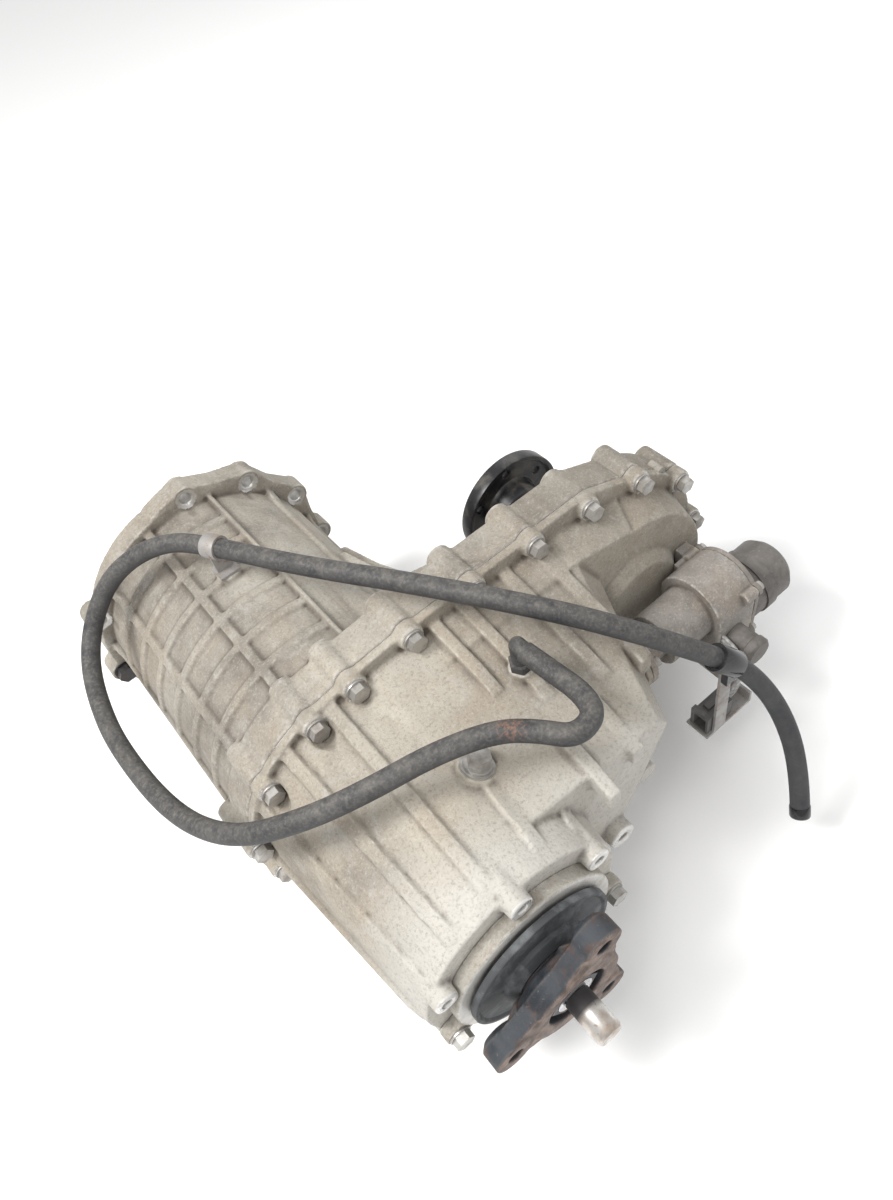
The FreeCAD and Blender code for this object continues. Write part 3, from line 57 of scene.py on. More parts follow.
# ------------------------------------------------------------------ camera
C = Vector((-0.07871820618, -0.64135613308, 0.63341998699))
R = Vector((0.76750085, -0.61840193, -0.16888309))
U = Vector((0.57825666, 0.55415282, 0.598777))
D = Vector((0.27669781, 0.55721963, -0.78290779))
cam_data = bpy.data.cameras.new("camera")
cam_data.sensor_width = 36.0
cam_data.sensor_fit = "AUTO"
cam_data.lens = 27.0
cam_data.clip_start = 0.01
cam_data.clip_end = 50.0
cam = bpy.data.objects.new("camera", cam_data)
scene.collection.objects.link(cam)
cam.matrix_world = Matrix(((R.x, U.x, -D.x, C.x), (R.y, U.y, -D.y, C.y), (R.z, U.z, -D.z, C.z), (0, 0, 0, 1)))
scene.camera = cam

# ------------------------------------------------------------------ vent hose
ROUTE = [(112, -352, 122), (113.5, -377.5, 124), (115, -404, 127.5), (108.5, -424, 131), (88, -427, 132),
         (74.5, -408.5, 133), (55, -389, 132.5), (16, -372.5, 130), (-26.5, -362, 126), (-68.5, -345, 116.5),
         (-115, -305, 87.5), (-140.5, -244, 68), (-147.5, -154.5, 59), (-140.5, -103, 61), (-128, -71.5, 70.5),
         (-107, -54, 88.5), (-78, -49.5, 112), (-48.5, -60, 128), (-23, -81, 138.5), (-4, -108, 140),
         (36, -192, 149), (89, -284, 157), (139, -360, 150), (177, -396, 122), (213, -418, 84), (247, -434, 44),
         (262, -460, 0), (255, -491, -45), (238, -510.5, -81.5)]
HOSE_R = 0.00775


def nurbs(name, pts, depth):
    cu = bpy.data.curves.new(name, "CURVE")
    cu.dimensions = "3D"
    sp = cu.splines.new("NURBS")
    sp.points.add(len(pts) - 1)
    for p, q in zip(sp.points, pts):
        p.co = (q[0] / 1000.0, q[1] / 1000.0, q[2] / 1000.0, 1.0)
    sp.order_u = 3
    sp.use_endpoint_u = True
    sp.resolution_u = 12
    cu.bevel_depth = depth
    cu.bevel_resolution = 8
    cu.use_fill_caps = False
    o = bpy.data.objects.new(name, cu)
    scene.collection.objects.link(o)
    return o


def line_points(pts):
    o = nurbs("tmp_line", pts, 0.0)
    me = bpy.data.meshes.new_from_object(o)
    out = [v.co.copy() for v in me.vertices]
    bpy.data.meshes.remove(me)
    bpy.data.objects.remove(o)
    return out


LINE = line_points(ROUTE)


def along(dist, from_end=False):
    pts = LINE[::-1] if from_end else LINE
    run = 0.0
    for a, b in zip(pts, pts[1:]):
        seg = (b - a).length
        if run + seg >= dist:
            return a.lerp(b, (dist - run) / seg), (b - a).normalized()
        run += seg
    return pts[-1], (pts[-1] - pts[-2]).normalized()


hose_len = sum((b - a).length for a, b in zip(LINE, LINE[1:]))


# ------------------------------------------------------------------ mesh helpers
def link_mesh(name, verts, faces):
    me = bpy.data.meshes.new(name)
    me.from_pydata([tuple(v) for v in verts], [], faces)
    me.validate()
    me.update()
    o = bpy.data.objects.new(name, me)
    scene.collection.objects.link(o)
    return o


def smooth_faces(o, on=True):
    o.data.polygons.foreach_set("use_smooth", [on] * len(o.data.polygons))


def sweep(name, rings, closed_ends=True, segs=40):
    """Skin of circles: rings are (centre, direction, radius)."""
    verts, faces = [], []
    up = None
    for c, d, r in rings:
        d = d.normalized()
        if up is None:
            up = d.orthogonal().normalized()
        up = (up - d * up.dot(d)).normalized()
        side = d.cross(up)
        for i in range(segs):
            a = 2 * math.pi * i / segs
            verts.append(c + (up * math.cos(a) + side * math.sin(a)) * r)
    n = len(rings)
    for k in range(n - 1):
        for i in range(segs):
            j = (i + 1) % segs
            faces.append((k * segs + i, k * segs + j, (k + 1) * segs + j, (k + 1) * segs + i))
    if closed_ends:
        faces.append(tuple(range(segs))[::-1])
        faces.append(tuple((n - 1) * segs + i for i in range(segs)))
    o = link_mesh(name, verts, faces)
    bm = bmesh.new()
    bm.from_mesh(o.data)
    bmesh.ops.recalc_face_normals(bm, faces=bm.faces)
    bm.to_mesh(o.data)
    bm.free()
    smooth_faces(o)
    return o


def apply_mods(o):
    dg = bpy.context.evaluated_depsgraph_get()
    me = bpy.data.meshes.new_from_object(o.evaluated_get(dg))
    old = o.data
    o.modifiers.clear()
    o.data = me
    bpy.data.meshes.remove(old)


def copy_of(node, name):
    me = NODES[node].data.copy()
    me.name = name
    me.materials.clear()
    o = bpy.data.objects.new(name, me)
    scene.collection.objects.link(o)
    bm = bmesh.new()
    bm.from_mesh(me)
    bmesh.ops.remove_doubles(bm, verts=bm.verts, dist=2e-6)
    bm.to_mesh(me)
    bm.free()
    if hasattr(me, "attributes"):
        for a in [a.name for a in me.attributes if a.name.startswith("custom_normal")]:
            me.attributes.remove(me.attributes[a])
    return o


def vert_arrays(me):
    n = len(me.vertices)
    co = np.empty(n * 3, dtype=np.float64)
    me.vertices.foreach_get("co", co)
    no = np.empty(n * 3, dtype=np.float64)
    me.vertices.foreach_get("normal", no)
    e = np.empty(len(me.edges) * 2, dtype=np.int64)
    me.edges.foreach_get("vertices", e)
    return co.reshape(-1, 3), no.reshape(-1, 3), e.reshape(-1, 2)


def spread(val, e, n, times):
    deg = np.bincount(e.ravel(), minlength=n).astype(np.float64)
    deg[deg == 0] = 1
    for _ in range(times):
        s = np.bincount(e[:, 0], weights=val[e[:, 1]], minlength=n) + np.bincount(e[:, 1], weights=val[e[:, 0]], minlength=n)
        val = 0.45 * val + 0.55 * s / deg
    return val


def paint_masks(o, machined=None, reach=0.004, gain=3.0):
    """Vertex colours: red raised edges (worn edges and painted edge highlight), green hollow corners (grime and painted
    shade), blue machined metal.
    """
    me = o.data
    co, no, e = vert_arrays(me)
    n = len(co)
    d = co[e[:, 1]] - co[e[:, 0]]
    ln = np.linalg.norm(d, axis=1)
    ln[ln < 1e-9] = 1e-9
    ka = np.einsum("ij,ij->i", no[e[:, 0]], d) / ln
    kb = -np.einsum("ij,ij->i", no[e[:, 1]], d) / ln
    w = np.minimum(ln, reach)
    num = np.bincount(e[:, 0], weights=ka * w, minlength=n) + np.bincount(e[:, 1], weights=kb * w, minlength=n)
    den = np.bincount(e[:, 0], weights=w, minlength=n) + np.bincount(e[:, 1], weights=w, minlength=n)
    k = num / np.maximum(den, 1e-12)
    edge = spread(np.clip(-k * gain, 0, 1), e, n, 2)
    cav = spread(np.clip(k * gain, 0, 1), e, n, 4)
    mach = np.zeros(n) if machined is None else np.clip(machined(co, no), 0, 1)
    cols = np.ones((n, 4), dtype=np.float32)
    cols[:, 0] = np.clip(edge * 1.5, 0, 1)
    cols[:, 1] = np.clip(cav * 2.0, 0, 1)
    cols[:, 2] = mach
    at = me.color_attributes.new("wear_and_shade", "FLOAT_COLOR", "POINT")
    at.data.foreach_set("color", cols.ravel())


def cast(node, name, voxel, smooth=4, limit=190000, machined=None, gain=3.0):
    """Rounded, cast copy of a CAD solid: fine remesh, smoothed edges, thinned to the limit."""
    o = copy_of(node, name)
    m = o.modifiers.new("remesh", "REMESH")
    m.mode = "VOXEL"
    m.voxel_size = voxel
    m.adaptivity = 0.0
    apply_mods(o)
    m = o.modifiers.new("smooth", "SMOOTH")
    m.factor = 0.5
    m.iterations = smooth
    apply_mods(o)
    tris = 2 * len(o.data.polygons)
    if tris > limit:
        m = o.modifiers.new("thin", "DECIMATE")
        m.ratio = limit / float(tris)
        apply_mods(o)
    me = o.data
    smooth_faces(o)
    paint_masks(o, machined, gain=gain)
    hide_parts(node)
    return o


# ------------------------------------------------------------------ materials
class Mat:
    """Small builder for one node material."""

    def __init__(self, name):
        self.m = bpy.data.materials.new(name)
        self.m.use_nodes = True
        self.t = self.m.node_tree
        self.t.nodes.clear()
        self.out = self.t.nodes.new("ShaderNodeOutputMaterial")
        self.b = self.t.nodes.new("ShaderNodeBsdfPrincipled")
        self.t.links.new(self.b.outputs["BSDF"], self.out.inputs["Surface"])
        self.co = self.t.nodes.new("ShaderNodeTexCoord").outputs["Object"]

    def link(self, a, b):
        self.t.links.new(a, b)

    def noise(self, scale, detail=4.0, rough=0.55, dist=0.0, stretch=None):
        n = self.t.nodes.new("ShaderNodeTexNoise")
        n.inputs["Scale"].default_value = scale
        n.inputs["Detail"].default_value = detail
        n.inputs["Roughness"].default_value = rough
        n.inputs["Distortion"].default_value = dist
        v = self.co
        if stretch:
            mp = self.t.nodes.new("ShaderNodeMapping")
            mp.inputs["Scale"].default_value = stretch
            self.link(v, mp.inputs["Vector"])
            v = mp.outputs["Vector"]
        self.link(v, n.inputs["Vector"])
        return n.outputs["Fac"]

    def voronoi(self, scale, feature="F1"):
        n = self.t.nodes.new("ShaderNodeTexVoronoi")
        n.feature = feature
        n.inputs["Scale"].default_value = scale
        self.link(self.co, n.inputs["Vector"])
        return n.outputs["Distance"]

    def ramp(self, fac, lo, hi, a=0.0, b=1.0):
        n = self.t.nodes.new("ShaderNodeMapRange")
        n.clamp = True
        n.inputs["From Min"].default_value = lo
        n.inputs["From Max"].default_value = hi
        n.inputs["To Min"].default_value = a
        n.inputs["To Max"].default_value = b
        self.link(fac, n.inputs["Value"])
        return n.outputs["Result"]

    def math(self, op, a, b=None, clamp=False):
        n = self.t.nodes.new("ShaderNodeMath")
        n.operation = op
        n.use_clamp = clamp
        for i, v in enumerate((a, b)):
            if v is None:
                continue
            if isinstance(v, (int, float)):
                n.inputs[i].default_value = v
            else:
                self.link(v, n.inputs[i])
        return n.outputs[0]

    def mix(self, fac, a, b, mode="MIX"):
        n = self.t.nodes.new("ShaderNodeMix")
        n.data_type = "RGBA"
        n.blend_type = mode
        n.clamp_factor = True
        if isinstance(fac, (int, float)):
            n.inputs[0].default_value = fac
        else:
            self.link(fac, n.inputs[0])
        for i, v in ((6, a), (7, b)):
            if isinstance(v, tuple):
                n.inputs[i].default_value = (v[0], v[1], v[2], 1.0)
            else:
                self.link(v, n.inputs[i])
        return n.outputs[2]

    # reads the curvature masks that drive wear, grime, painted edge highlight and painted shade
    def wear_and_shade(self):
        a = self.t.nodes.new("ShaderNodeVertexColor")
        a.layer_name = "wear_and_shade"
        s = self.t.nodes.new("ShaderNodeSeparateColor")
        self.link(a.outputs["Color"], s.inputs["Color"])
        return s.outputs["Red"], s.outputs["Green"], s.outputs["Blue"]

    def axis(self, i):
        s = self.t.nodes.new("ShaderNodeSeparateXYZ")
        self.link(self.co, s.inputs["Vector"])
        return s.outputs[i]

    def up(self):
        g = self.t.nodes.new("ShaderNodeNewGeometry")
        s = self.t.nodes.new("ShaderNodeSeparateXYZ")
        self.link(g.outputs["Normal"], s.inputs["Vector"])
        return s.outputs[2]

    def spot(self, x, y, z, r0, r1):
        """1 inside r0 of a point, 0 outside r1."""
        n = self.t.nodes.new("ShaderNodeVectorMath")
        n.operation = "DISTANCE"
        self.link(self.co, n.inputs[0])
        n.inputs[1].default_value = (x, y, z)
        return self.ramp(n.outputs["Value"], r0, r1, 1.0, 0.0)

    def bump(self, height, strength, dist, base=None):
        n = self.t.nodes.new("ShaderNodeBump")
        n.inputs["Strength"].default_value = strength
        n.inputs["Distance"].default_value = dist
        self.link(height, n.inputs["Height"])
        if base is not None:
            self.link(base, n.inputs["Normal"])
        return n.outputs["Normal"]

    def done(self, color=None, rough=None, metal=None, normal=None, coat=0.0, spec=0.5):
        b = self.b
        if color is not None:
            if isinstance(color, tuple):
                b.inputs["Base Color"].default_value = (color[0], color[1], color[2], 1)
            else:
                self.link(color, b.inputs["Base Color"])
        for v, s in ((rough, "Roughness"), (metal, "Metallic")):
            if v is None:
                continue
            if isinstance(v, (int, float)):
                b.inputs[s].default_value = v
            else:
                self.link(v, b.inputs[s])
        if normal is not None:
            self.link(normal, b.inputs["Normal"])
        b.inputs["Coat Weight"].default_value = coat
        b.inputs["Specular IOR Level"].default_value = spec
        return self.m


def cast_alloy(name, light, mid, dark, edge_wear_highlight_col=(0.62, 0.60, 0.55), grain=1.0, masks=True, brown=0.35, shade=0.0, pale=0.0):
    m = Mat(name)
    big = m.noise(9.0, 5.0, 0.6, 0.4)
    mid_n = m.noise(48.0, 6.0, 0.62)
    grit = m.noise(420.0, 4.0, 0.72)
    grit2 = m.noise(560.0, 4.0, 0.70, 0.5)
    fine = m.noise(900.0, 3.0, 0.6)
    smear = m.noise(26.0, 6.0, 0.66, 1.4)
    col = m.mix(m.ramp(mid_n, 0.36, 0.66), dark, mid)
    col = m.mix(m.ramp(big, 0.40, 0.66), col, light)
    tan = m.mix(m.ramp(m.noise(17.0, 5.0, 0.6, 0.8), 0.48, 0.68, 0.0, brown), col, (0.36, 0.29, 0.215))
    # painted shade: the case colour darkens towards +x, the side turned away from the key and flash lamps
    if shade:
        tan = m.mix(m.ramp(m.axis(0), 0.12, 0.30, 0.0, shade), tan, dark)
    tan = m.mix(m.ramp(smear, 0.52, 0.70, 0.0, 0.40), tan, (0.47, 0.460, 0.435))
    # painted light: the case colour turns paler towards the rear end (y below -0.335 m), where the flash lamp is
    # nearest
    if pale:
        tail = m.math("ADD", m.axis(1), m.math("MULTIPLY", big, 0.10))
        tan = m.mix(m.ramp(tail, -0.335, -0.385, 0.0, pale), tan, (0.60, 0.588, 0.555))
    col = m.mix(m.ramp(grit2, 0.52, 0.68, 0.0, 0.34), tan, (0.60, 0.57, 0.51))
    col = m.mix(m.ramp(grit, 0.50, 0.70, 0.0, 0.46), col, (0.150, 0.125, 0.098))
    col = m.mix(m.ramp(fine, 0.62, 0.74, 0.0, 0.30), col, (0.13, 0.11, 0.09))
    rough = m.ramp(mid_n, 0.3, 0.7, 0.62, 0.86)
    metal = m.ramp(big, 0.3, 0.7, 0.16, 0.30)
    if masks:
        edge, cav, mach = m.wear_and_shade()
        # lighter raised edges: rubbed metal, partly a painted edge highlight
        edge_wear_and_highlight = m.math("MULTIPLY", edge, m.ramp(m.noise(150.0, 4.0, 0.6), 0.38, 0.64, 0.10, 1.0))
        col = m.mix(m.ramp(edge_wear_and_highlight, 0.12, 0.55, 0.0, 0.62), col, edge_wear_highlight_col)
        # darker hollow corners: grime, partly painted shade in the recesses
        grime_and_shade = m.math("MULTIPLY", cav, m.ramp(mid_n, 0.3, 0.65, 0.55, 1.0))
        col = m.mix(m.ramp(grime_and_shade, 0.04, 0.50, 0.0, 0.90), col, (0.085, 0.070, 0.056))
        bright = m.math("MULTIPLY", mach, m.ramp(m.noise(60.0, 5.0, 0.6), 0.30, 0.55, 0.45, 1.0))
        col = m.mix(bright, col, (0.70, 0.69, 0.67))
        metal = m.math("ADD", metal, m.math("MULTIPLY", bright, 0.6), True)
        rough = m.math("SUBTRACT", rough, m.math("MULTIPLY", bright, 0.42), True)
    h = m.math("SUBTRACT", m.math("MULTIPLY", grit2, 0.6), m.math("MULTIPLY", grit, 0.6))
    nrm = m.bump(h, 0.60 * grain, 0.0010)
    nrm = m.bump(m.noise(95.0, 5.0, 0.65), 0.45 * grain, 0.0018, nrm)
    return m, col, rough, metal, nrm


def case_material(name, **k):
    m, col, rough, metal, nrm = cast_alloy(name, **k)
    return m.done(col, rough, metal, nrm, spec=0.35)


def steel(name, base, dirt=(0.16, 0.13, 0.10), dirty=0.5, rough0=0.28, rough1=0.6, rust=0.0, metal=0.9):
    m = Mat(name)
    n1 = m.noise(70.0, 5.0, 0.6)
    n2 = m.noise(600.0, 3.0, 0.55)
    col = m.mix(m.ramp(n1, 0.40, 0.68, 0.0, dirty), base, dirt)
    if rust:
        col = m.mix(m.ramp(m.noise(160.0, 6.0, 0.7), 0.56, 0.70, 0.0, rust), col, (0.20, 0.075, 0.028))
    rough = m.ramp(n1, 0.35, 0.7, rough0, rough1)
    return m.done(col, rough, m.ramp(n1, 0.4, 0.75, metal, metal * 0.55), m.bump(n2, 0.25, 0.0003))


MAT = {}
# the rear and front case materials get painted shade towards +x; the rear case also gets painted light towards its rear
# end
MAT["case_rear"] = case_material("cast_rear", light=(0.44, 0.405, 0.345), mid=(0.355, 0.320, 0.268), dark=(0.225, 0.200, 0.165), brown=0.42, shade=0.35, pale=0.62)
MAT["case_front"] = case_material("cast_front", light=(0.435, 0.405, 0.350), mid=(0.335, 0.305, 0.260), dark=(0.185, 0.166, 0.140), brown=0.35, shade=0.55)
MAT["case_small"] = case_material("cast_small", light=(0.44, 0.415, 0.37), mid=(0.345, 0.32, 0.28), dark=(0.20, 0.182, 0.155), brown=0.40)
MAT["actuator"] = case_material("actuator_cast", light=(0.36, 0.335, 0.31), mid=(0.27, 0.25, 0.23), dark=(0.17, 0.155, 0.14), brown=0.5, grain=0.6)
MAT["zinc"] = steel("zinc_bolt", (0.50, 0.49, 0.47), (0.20, 0.17, 0.14), 0.75, 0.38, 0.72, 0.25)
MAT["bright"] = steel("bright_steel", (0.62, 0.62, 0.63), (0.22, 0.20, 0.18), 0.45, 0.22, 0.5, 0.15)
MAT["black_bolt"] = steel("black_bolt", (0.045, 0.045, 0.048), (0.10, 0.085, 0.07), 0.5, 0.35, 0.65, 0.15, 0.6)
MAT["bearing"] = steel("bearing_steel", (0.72, 0.72, 0.73), (0.4, 0.38, 0.35), 0.2, 0.12, 0.28)
MAT["chain"] = steel("chain_steel", (0.20, 0.19, 0.18), (0.06, 0.05, 0.045), 0.5, 0.3, 0.5)
MAT["strap"] = steel("strap_zinc", (0.36, 0.35, 0.34), (0.20, 0.16, 0.125), 0.6, 0.45, 0.78, 0.8, 0.45)


def pin_material():
    m = Mat("pin_steel")
    n = m.noise(60.0, 5.0, 0.6, 0.5)
    f = m.noise(300.0, 4.0, 0.6)
    col = m.mix(m.ramp(n, 0.42, 0.66), (0.62, 0.60, 0.57), (0.36, 0.30, 0.25))
    col = m.mix(m.ramp(f, 0.60, 0.72, 0.0, 0.6), col, (0.17, 0.085, 0.045))
    # painted shadow: near-black band on the pin's base next to the flange
    root_shadow = m.ramp(m.axis(1), -0.5245, -0.5195)
    col = m.mix(root_shadow, col, (0.045, 0.042, 0.042))
    rough = m.math("ADD", m.ramp(n, 0.35, 0.7, 0.24, 0.5), m.math("MULTIPLY", root_shadow, 0.25), True)
    return m.done(col, rough, m.ramp(root_shadow, 0.0, 1.0, 0.85, 0.3), m.bump(f, 0.25, 0.0003))


MAT["pin"] = pin_material()


def label_cover_material():
    m = Mat("actuator_cover_paint")
    n = m.noise(36.0, 6.0, 0.65, 0.4)
    f = m.noise(300.0, 4.0, 0.62)
    col = m.mix(m.ramp(n, 0.38, 0.66), (0.14, 0.125, 0.11), (0.26, 0.235, 0.21))
    col = m.mix(m.ramp(f, 0.56, 0.70, 0.0, 0.5), col, (0.40, 0.37, 0.33))
    patch = m.math("MULTIPLY", m.spot(0.330, -0.350, 0.002, 0.017, 0.020), m.ramp(f, 0.28, 0.44, 0.6, 1.0))
    col = m.mix(patch, col, (0.035, 0.032, 0.030))
    return m.done(col, m.ramp(n, 0.3, 0.7, 0.5, 0.78), 0.1, m.bump(f, 0.35, 0.0006))


MAT["cover"] = label_cover_material()


def rear_flange_material():
    m = Mat("forged_flange")
    n = m.noise(45.0, 6.0, 0.65, 0.3)
    f = m.noise(380.0, 4.0, 0.6)
    col = m.mix(m.ramp(n, 0.38, 0.64), (0.020, 0.024, 0.030), (0.052, 0.058, 0.066))
    col = m.mix(m.ramp(m.noise(34.0, 6.0, 0.7), 0.50, 0.66, 0.0, 0.80), col, (0.105, 0.050, 0.028))
    col = m.mix(m.ramp(f, 0.64, 0.76, 0.0, 0.45), col, (0.22, 0.205, 0.195))
    edge, cav, mach = m.wear_and_shade()
    # lighter raised edges: worn metal, partly a painted edge highlight; darker hollow corners: grime, partly painted
    # shade
    col = m.mix(m.ramp(edge, 0.15, 0.6, 0.0, 0.45), col, (0.20, 0.175, 0.155))
    col = m.mix(m.ramp(cav, 0.08, 0.6, 0.0, 0.8), col, (0.05, 0.035, 0.028))
    tan = m.mix(m.ramp(m.noise(90.0, 6.0, 0.65), 0.38, 0.66), (0.085, 0.060, 0.050), (0.27, 0.205, 0.170))
    tan = m.mix(m.ramp(m.noise(210.0, 5.0, 0.6), 0.58, 0.70, 0.0, 0.7), tan, (0.15, 0.065, 0.035))
    col = m.mix(mach, col, tan)
    rough = m.ramp(n, 0.3, 0.7, 0.48, 0.78)
    h = m.math("ADD", m.math("MULTIPLY", n, 0.6), m.math("MULTIPLY", f, 0.4))
    return m.done(col, rough, m.ramp(n, 0.35, 0.7, 0.30, 0.12), m.bump(h, 0.55, 0.0010))


MAT["rear_flange"] = rear_flange_material()


def black_paint(name, base=(0.012, 0.012, 0.014), dust=(0.20, 0.18, 0.155), amount=0.55, rough0=0.28, rough1=0.55):
    m = Mat(name)
    n = m.noise(38.0, 6.0, 0.65, 0.3)
    f = m.noise(500.0, 3.0, 0.6)
    col = m.mix(m.ramp(n, 0.48, 0.72, 0.0, amount), base, dust)
    col = m.mix(m.ramp(f, 0.64, 0.76, 0.0, 0.35), col, dust)
    return m.done(col, m.ramp(n, 0.4, 0.72, rough0, rough1), 0.0, m.bump(f, 0.2, 0.0003), spec=0.5)


MAT["black_paint"] = black_paint("satin_black")
MAT["shield"] = black_paint("shield_dusty", (0.052, 0.056, 0.060), (0.235, 0.245, 0.250), 0.85, 0.60, 0.85)
MAT["plug_body"] = black_paint("connector_grey", (0.085, 0.082, 0.080), (0.26, 0.245, 0.225), 0.7, 0.5, 0.7)
MAT["gloss"] = black_paint("gloss_black", (0.008, 0.008, 0.010), (0.10, 0.10, 0.10), 0.25, 0.10, 0.30)
MAT["seal"] = black_paint("seal_rubber", (0.02, 0.02, 0.02), (0.10, 0.09, 0.08), 0.4, 0.6, 0.8)


def hose_material():
    m = Mat("hose_rubber")
    n = m.noise(30.0, 6.0, 0.65, 0.5)
    f = m.noise(420.0, 4.0, 0.6)
    streak = m.noise(46.0, 6.0, 0.68, 1.6)
    y = m.axis(1)
    dusty = m.ramp(y, -0.452, -0.425, 0.10, 1.0)
    col = m.mix(m.ramp(n, 0.38, 0.66), (0.026, 0.027, 0.030), (0.062, 0.061, 0.061))
    dust = m.math("MULTIPLY", m.math("MULTIPLY", m.ramp(f, 0.46, 0.66), dusty), m.ramp(m.up(), -0.4, 0.9))
    col = m.mix(m.math("MULTIPLY", dust, 0.25), col, (0.26, 0.24, 0.215))
    haze = m.math("MULTIPLY", m.math("MULTIPLY", m.ramp(streak, 0.35, 0.75), dusty), m.ramp(m.up(), 0.0, 1.0))
    col = m.mix(m.math("MULTIPLY", haze, 0.38), col, (0.25, 0.228, 0.195))
    scuff = m.math("MULTIPLY", m.ramp(m.noise(120.0, 4.0, 0.6, 0.8), 0.50, 0.64), m.ramp(m.up(), 0.1, 0.9))
    col = m.mix(m.math("MULTIPLY", scuff, 0.45), col, (0.020, 0.020, 0.022))
    rust = m.math("MULTIPLY", m.spot(0.062, -0.397, 0.139, 0.003, 0.012), m.ramp(f, 0.44, 0.60))
    col = m.mix(m.math("MULTIPLY", rust, 0.55), col, (0.24, 0.095, 0.045))
    rough = m.ramp(n, 0.35, 0.7, 0.50, 0.75)
    nrm = m.bump(f, 0.30, 0.0004)
    return m.done(col, rough, 0.0, nrm, spec=0.4)


MAT["hose"] = hose_material()


def lining():
    m = Mat("clutch_lining")
    f = m.noise(900.0, 3.0, 0.5)
    return m.done(m.mix(f, (0.10, 0.065, 0.04), (0.20, 0.14, 0.09)), 0.85, 0.0, m.bump(f, 0.3, 0.0002))


MAT["lining"] = lining()


def lead_material():
    m = Mat("lead_sleeve")
    f = m.noise(300.0, 4.0, 0.6)
    col = m.mix(m.ramp(f, 0.4, 0.65), (0.24, 0.235, 0.23), (0.46, 0.45, 0.44))
    return m.done(col, 0.55, 0.0, m.bump(f, 0.25, 0.0002))


MAT["lead"] = lead_material()


def can_material():
    m = Mat("motor_paint")
    n = m.noise(36.0, 6.0, 0.65, 0.4)
    f = m.noise(420.0, 4.0, 0.6)
    col = m.mix(m.ramp(n, 0.38, 0.66), (0.095, 0.086, 0.078), (0.20, 0.185, 0.170))
    col = m.mix(m.ramp(f, 0.60, 0.74, 0.0, 0.45), col, (0.33, 0.31, 0.285))
    col = m.mix(m.ramp(m.noise(80.0, 5.0, 0.6), 0.60, 0.72, 0.0, 0.55), col, (0.065, 0.055, 0.048))
    return m.done(col, m.ramp(n, 0.3, 0.7, 0.45, 0.75), 0.15, m.bump(f, 0.3, 0.0005))


MAT["can"] = can_material()


def dress(node, key):
    o = NODES[node]
    o.data.materials.clear()
    o.data.materials.append(MAT[key])


for names, key in (
        (("seam_bolts", "retainer_bolts", "actuator_screws", "actuator_mount_screws", "plug_washers", "oil_plugs"), "zinc"),
        (("input_shaft", "output_shaft", "front_output_shaft", "ring_gear", "planet_gear_1", "planet_gear_2", "planet_gear_3",
          "planet_carrier", "range_sleeve", "shift_rail", "shift_shaft", "actuator_gear", "clutch_hub", "steel_plates",
          "pressure_plate", "clutch_drum", "drive_sprocket", "driven_sprocket", "pump_rotor"), "bright"),
        (("dowels",), "case_small"),
        (("centring_pin",), "pin"),
        (("flange_bolt", "rear_flange_nut", "front_flange_nut"), "black_bolt"),
        (("input_bearing", "rear_output_bearing", "front_output_bearing", "front_inner_bearing"), "bearing"),
        (("chain", "range_fork", "motor_rotor"), "chain"),
        (("front_flange",), "black_paint"),
        (("dust_shield",), "shield"),
        (("input_seal", "rear_seal", "front_seal"), "seal"),
        (("friction_plates",), "lining"),
        (("hose_clip",), "gloss"),
        (("connector",), "plug_body"),
        (("motor_can", "side_cap", "motor_strap"), "can"),
        (("actuator_cover",), "cover"),
        (("connector_bracket", "hose_bracket"), "strap"),
        (("connector_wires",), "lead"),
        (("front_housing",), "case_front"),
        (("rear_housing", "rear_retainer", "pump_body"), "case_rear"),
        (("actuator_housing",), "actuator"),
        (("rear_flange",), "rear_flange"),
        (("vent_hose", "breather_elbow"), "hose")):
    for nm in names:
        dress(nm, key)

# softened edges on the turned and pressed CAD pieces
for nm, w in (("seam_bolts", 0.0004), ("retainer_bolts", 0.0004), ("flange_bolt", 0.0004), ("oil_plugs", 0.0005),
              ("centring_pin", 0.0006), ("rear_flange_nut", 0.0004), ("front_flange", 0.0007), ("hose_clip", 0.0008),
              ("hose_bracket", 0.0006), ("connector", 0.0008), ("connector_bracket", 0.0006), ("motor_can", 0.0010),
              ("actuator_cover", 0.0008), ("side_cap", 0.0008), ("breather_elbow", 0.0006), ("actuator_screws", 0.0003),
              ("motor_strap", 0.0004), ("dust_shield", 0.0003)):
    o = NODES[nm]
    wd = o.modifiers.new("weld", "WELD")
    wd.merge_threshold = 2e-6
    bv = o.modifiers.new("bevel", "BEVEL")
    bv.width = w
    bv.segments = 2
    bv.limit_method = "ANGLE"
    bv.angle_limit = math.radians(38)
    bv.harden_normals = False


# ------------------------------------------------------------------ cast pieces
LUGS = (83, 53, 23.5, -7, -38, -82, -112, -146, -172, 154)
SEAM = [(-107, 14), (-76, 68), (-26, 98), (12, 107), (66, 113), (126, 114), (185, 113), (242, 108),
        (298, 94), (346, 58), (364, -4), (340, -62), (298, -97), (242, -108), (185, -112), (126, -113),
        (66, -113), (12, -110), (-30, -102), (-76, -76), (-103, -34)]


def near_axis(co, x, z, r):
    return np.hypot(co[:, 0] * 1000 - x, co[:, 2] * 1000 - z) < r


def front_machined(co, no):
    y = co[:, 1] * 1000
    m = np.zeros(len(co))
    m[(y > -0.9) & (no[:, 1] > 0.7)] = 1.0
    for a in LUGS:
        x, z = 115.5 * math.cos(math.radians(a)), 115.5 * math.sin(math.radians(a))
        hit = near_axis(co, x, z, 9.4) & (y < -18.5) & (y > -24)
        m[hit] = 1.0
        m[near_axis(co, x, z, 6.3) & (y > -22)] = 1.0
    m[(y < -267.2) & (no[:, 1] < -0.85)] = 0.8
    return m


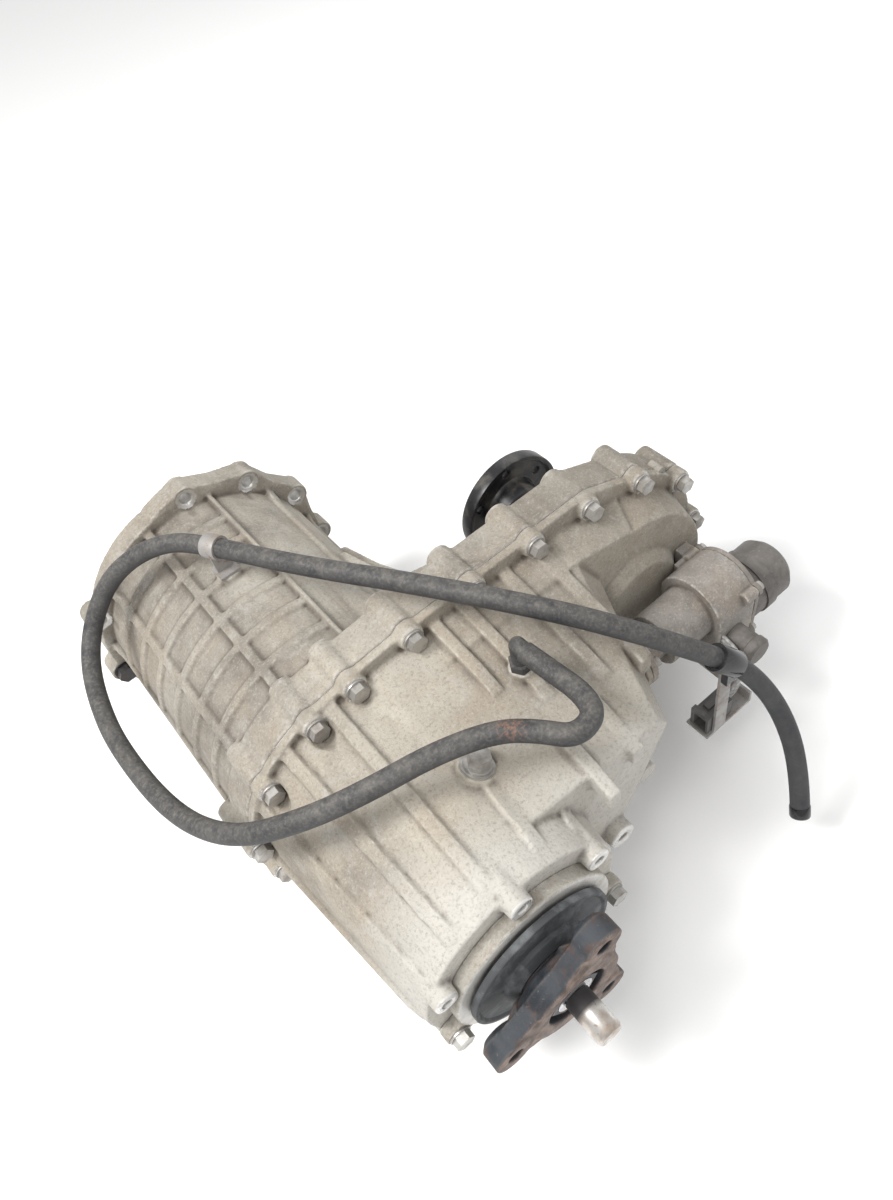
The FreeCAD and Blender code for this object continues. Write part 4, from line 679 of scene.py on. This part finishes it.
def rear_machined(co, no):
    y = co[:, 1] * 1000
    m = np.zeros(len(co))
    m[(y > -268.8) & (no[:, 1] > 0.85)] = 0.8
    for x, z in SEAM:
        m[near_axis(co, x, z, 9.5) & (y < -279.8) & (no[:, 1] < -0.6)] = 0.9
    for a in (90, 36, 150):
        x, z = 79 * math.cos(math.radians(a)), 79 * math.sin(math.radians(a))
        m[near_axis(co, x, z, 10.5) & (y < -466.6)] = 1.0
    m[near_axis(co, 112, -42, 12.5) & (y < -439.6)] = 1.0
    return m


def retainer_machined(co, no):
    y = co[:, 1] * 1000
    m = np.zeros(len(co))
    m[(no[:, 1] < -0.8) & (y < -469)] = 0.7
    return m


def flange_machined(co, no):
    y = co[:, 1] * 1000
    m = np.zeros(len(co))
    m[(no[:, 1] < -0.75) & (y < -507.5)] = 1.0
    return m


made = []
rh = cast("rear_housing", "rear_case_skin", 0.0013, 11, 190000, rear_machined)
rh.data.materials.append(MAT["case_rear"])
fh = cast("front_housing", "front_case_skin", 0.0013, 7, 190000, front_machined)
fh.data.materials.append(MAT["case_front"])
rr = cast("rear_retainer", "rear_retainer_skin", 0.0012, 3, 120000, retainer_machined)
rr.data.materials.append(MAT["case_small"])
ah = cast("actuator_housing", "actuator_housing_skin", 0.0010, 3, 150000)
ah.data.materials.append(MAT["actuator"])
rf = cast("rear_flange", "rear_flange_skin", 0.0009, 8, 150000, flange_machined)
rf.data.materials.append(MAT["rear_flange"])
for o, body, sl in ((rh, "case", "cast_case"), (fh, "case", "cast_case"), (rr, "case", "cast_case"), (ah, "case", "cast_case"), (rf, "output", "forged_flange")):
    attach(o, body)

# ------------------------------------------------------------------ hose
hose = nurbs("vent_hose_line", ROUTE, HOSE_R)
hose.data.materials.append(MAT["hose"])
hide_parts("vent_hose")
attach(hose, "case")

ring = []
for s, r in ((0.0, 0.0052), (0.0, 0.0079), (0.0010, 0.0083), (0.0085, 0.0083), (0.0095, 0.0079)):
    p, dd = along(s, True)
    ring.append((p, dd, r))
collar = sweep("hose_end_collar", ring, False)
collar.data.materials.append(MAT["gloss"])
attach(collar, "case")

# ------------------------------------------------------------------ floor, light
low = CAD_BOX[0][2] if not isinstance(CAD_BOX, dict) else CAD_BOX["min"][2]
floor = link_mesh("floor", [(-6, -6, low - 0.0006), (6, -6, low - 0.0006), (6, 6, low - 0.0006), (-6, 6, low - 0.0006)], [(0, 1, 2, 3)])
fm = Mat("floor")
fn = fm.noise(3.0, 3.0, 0.5)
floor.data.materials.append(fm.done(fm.mix(fn, (0.955, 0.955, 0.953), (0.975, 0.975, 0.972)), 0.9, 0.0, spec=0.1))


def area(name, pos, target, size, power, color=(1, 1, 1)):
    l = bpy.data.lights.new(name, "AREA")
    l.shape = "DISK"
    l.size = size
    l.energy = power
    l.color = color
    o = bpy.data.objects.new(name, l)
    scene.collection.objects.link(o)
    o.location = pos
    o.rotation_euler = (Vector(target) - Vector(pos)).to_track_quat("-Z", "Y").to_euler()
    return o


area("key", (-1.05, 0.15, 1.75), (0.1, -0.25, 0), 0.60, 34, (1.0, 0.99, 0.975))
area("flash", (-0.21, -0.47, 0.74), (0.05, -0.35, 0.02), 0.30, 2.0, (1.0, 0.99, 0.975))
area("fill", (0.9, -1.5, 1.3), (0.1, -0.25, 0), 1.8, 5, (0.95, 0.97, 1.0))
area("rim", (1.3, 0.9, 1.1), (0.1, -0.2, 0), 1.2, 5)
world = bpy.data.worlds.new("studio")
scene.world = world
world.use_nodes = True
bg = world.node_tree.nodes["Background"]
bg.inputs["Color"].default_value = (1.0, 1.0, 1.0, 1.0)
bg.inputs["Strength"].default_value = 0.74
scene.view_settings.view_transform = "Standard"
scene.view_settings.look = "None"
scene.view_settings.exposure = 0.0
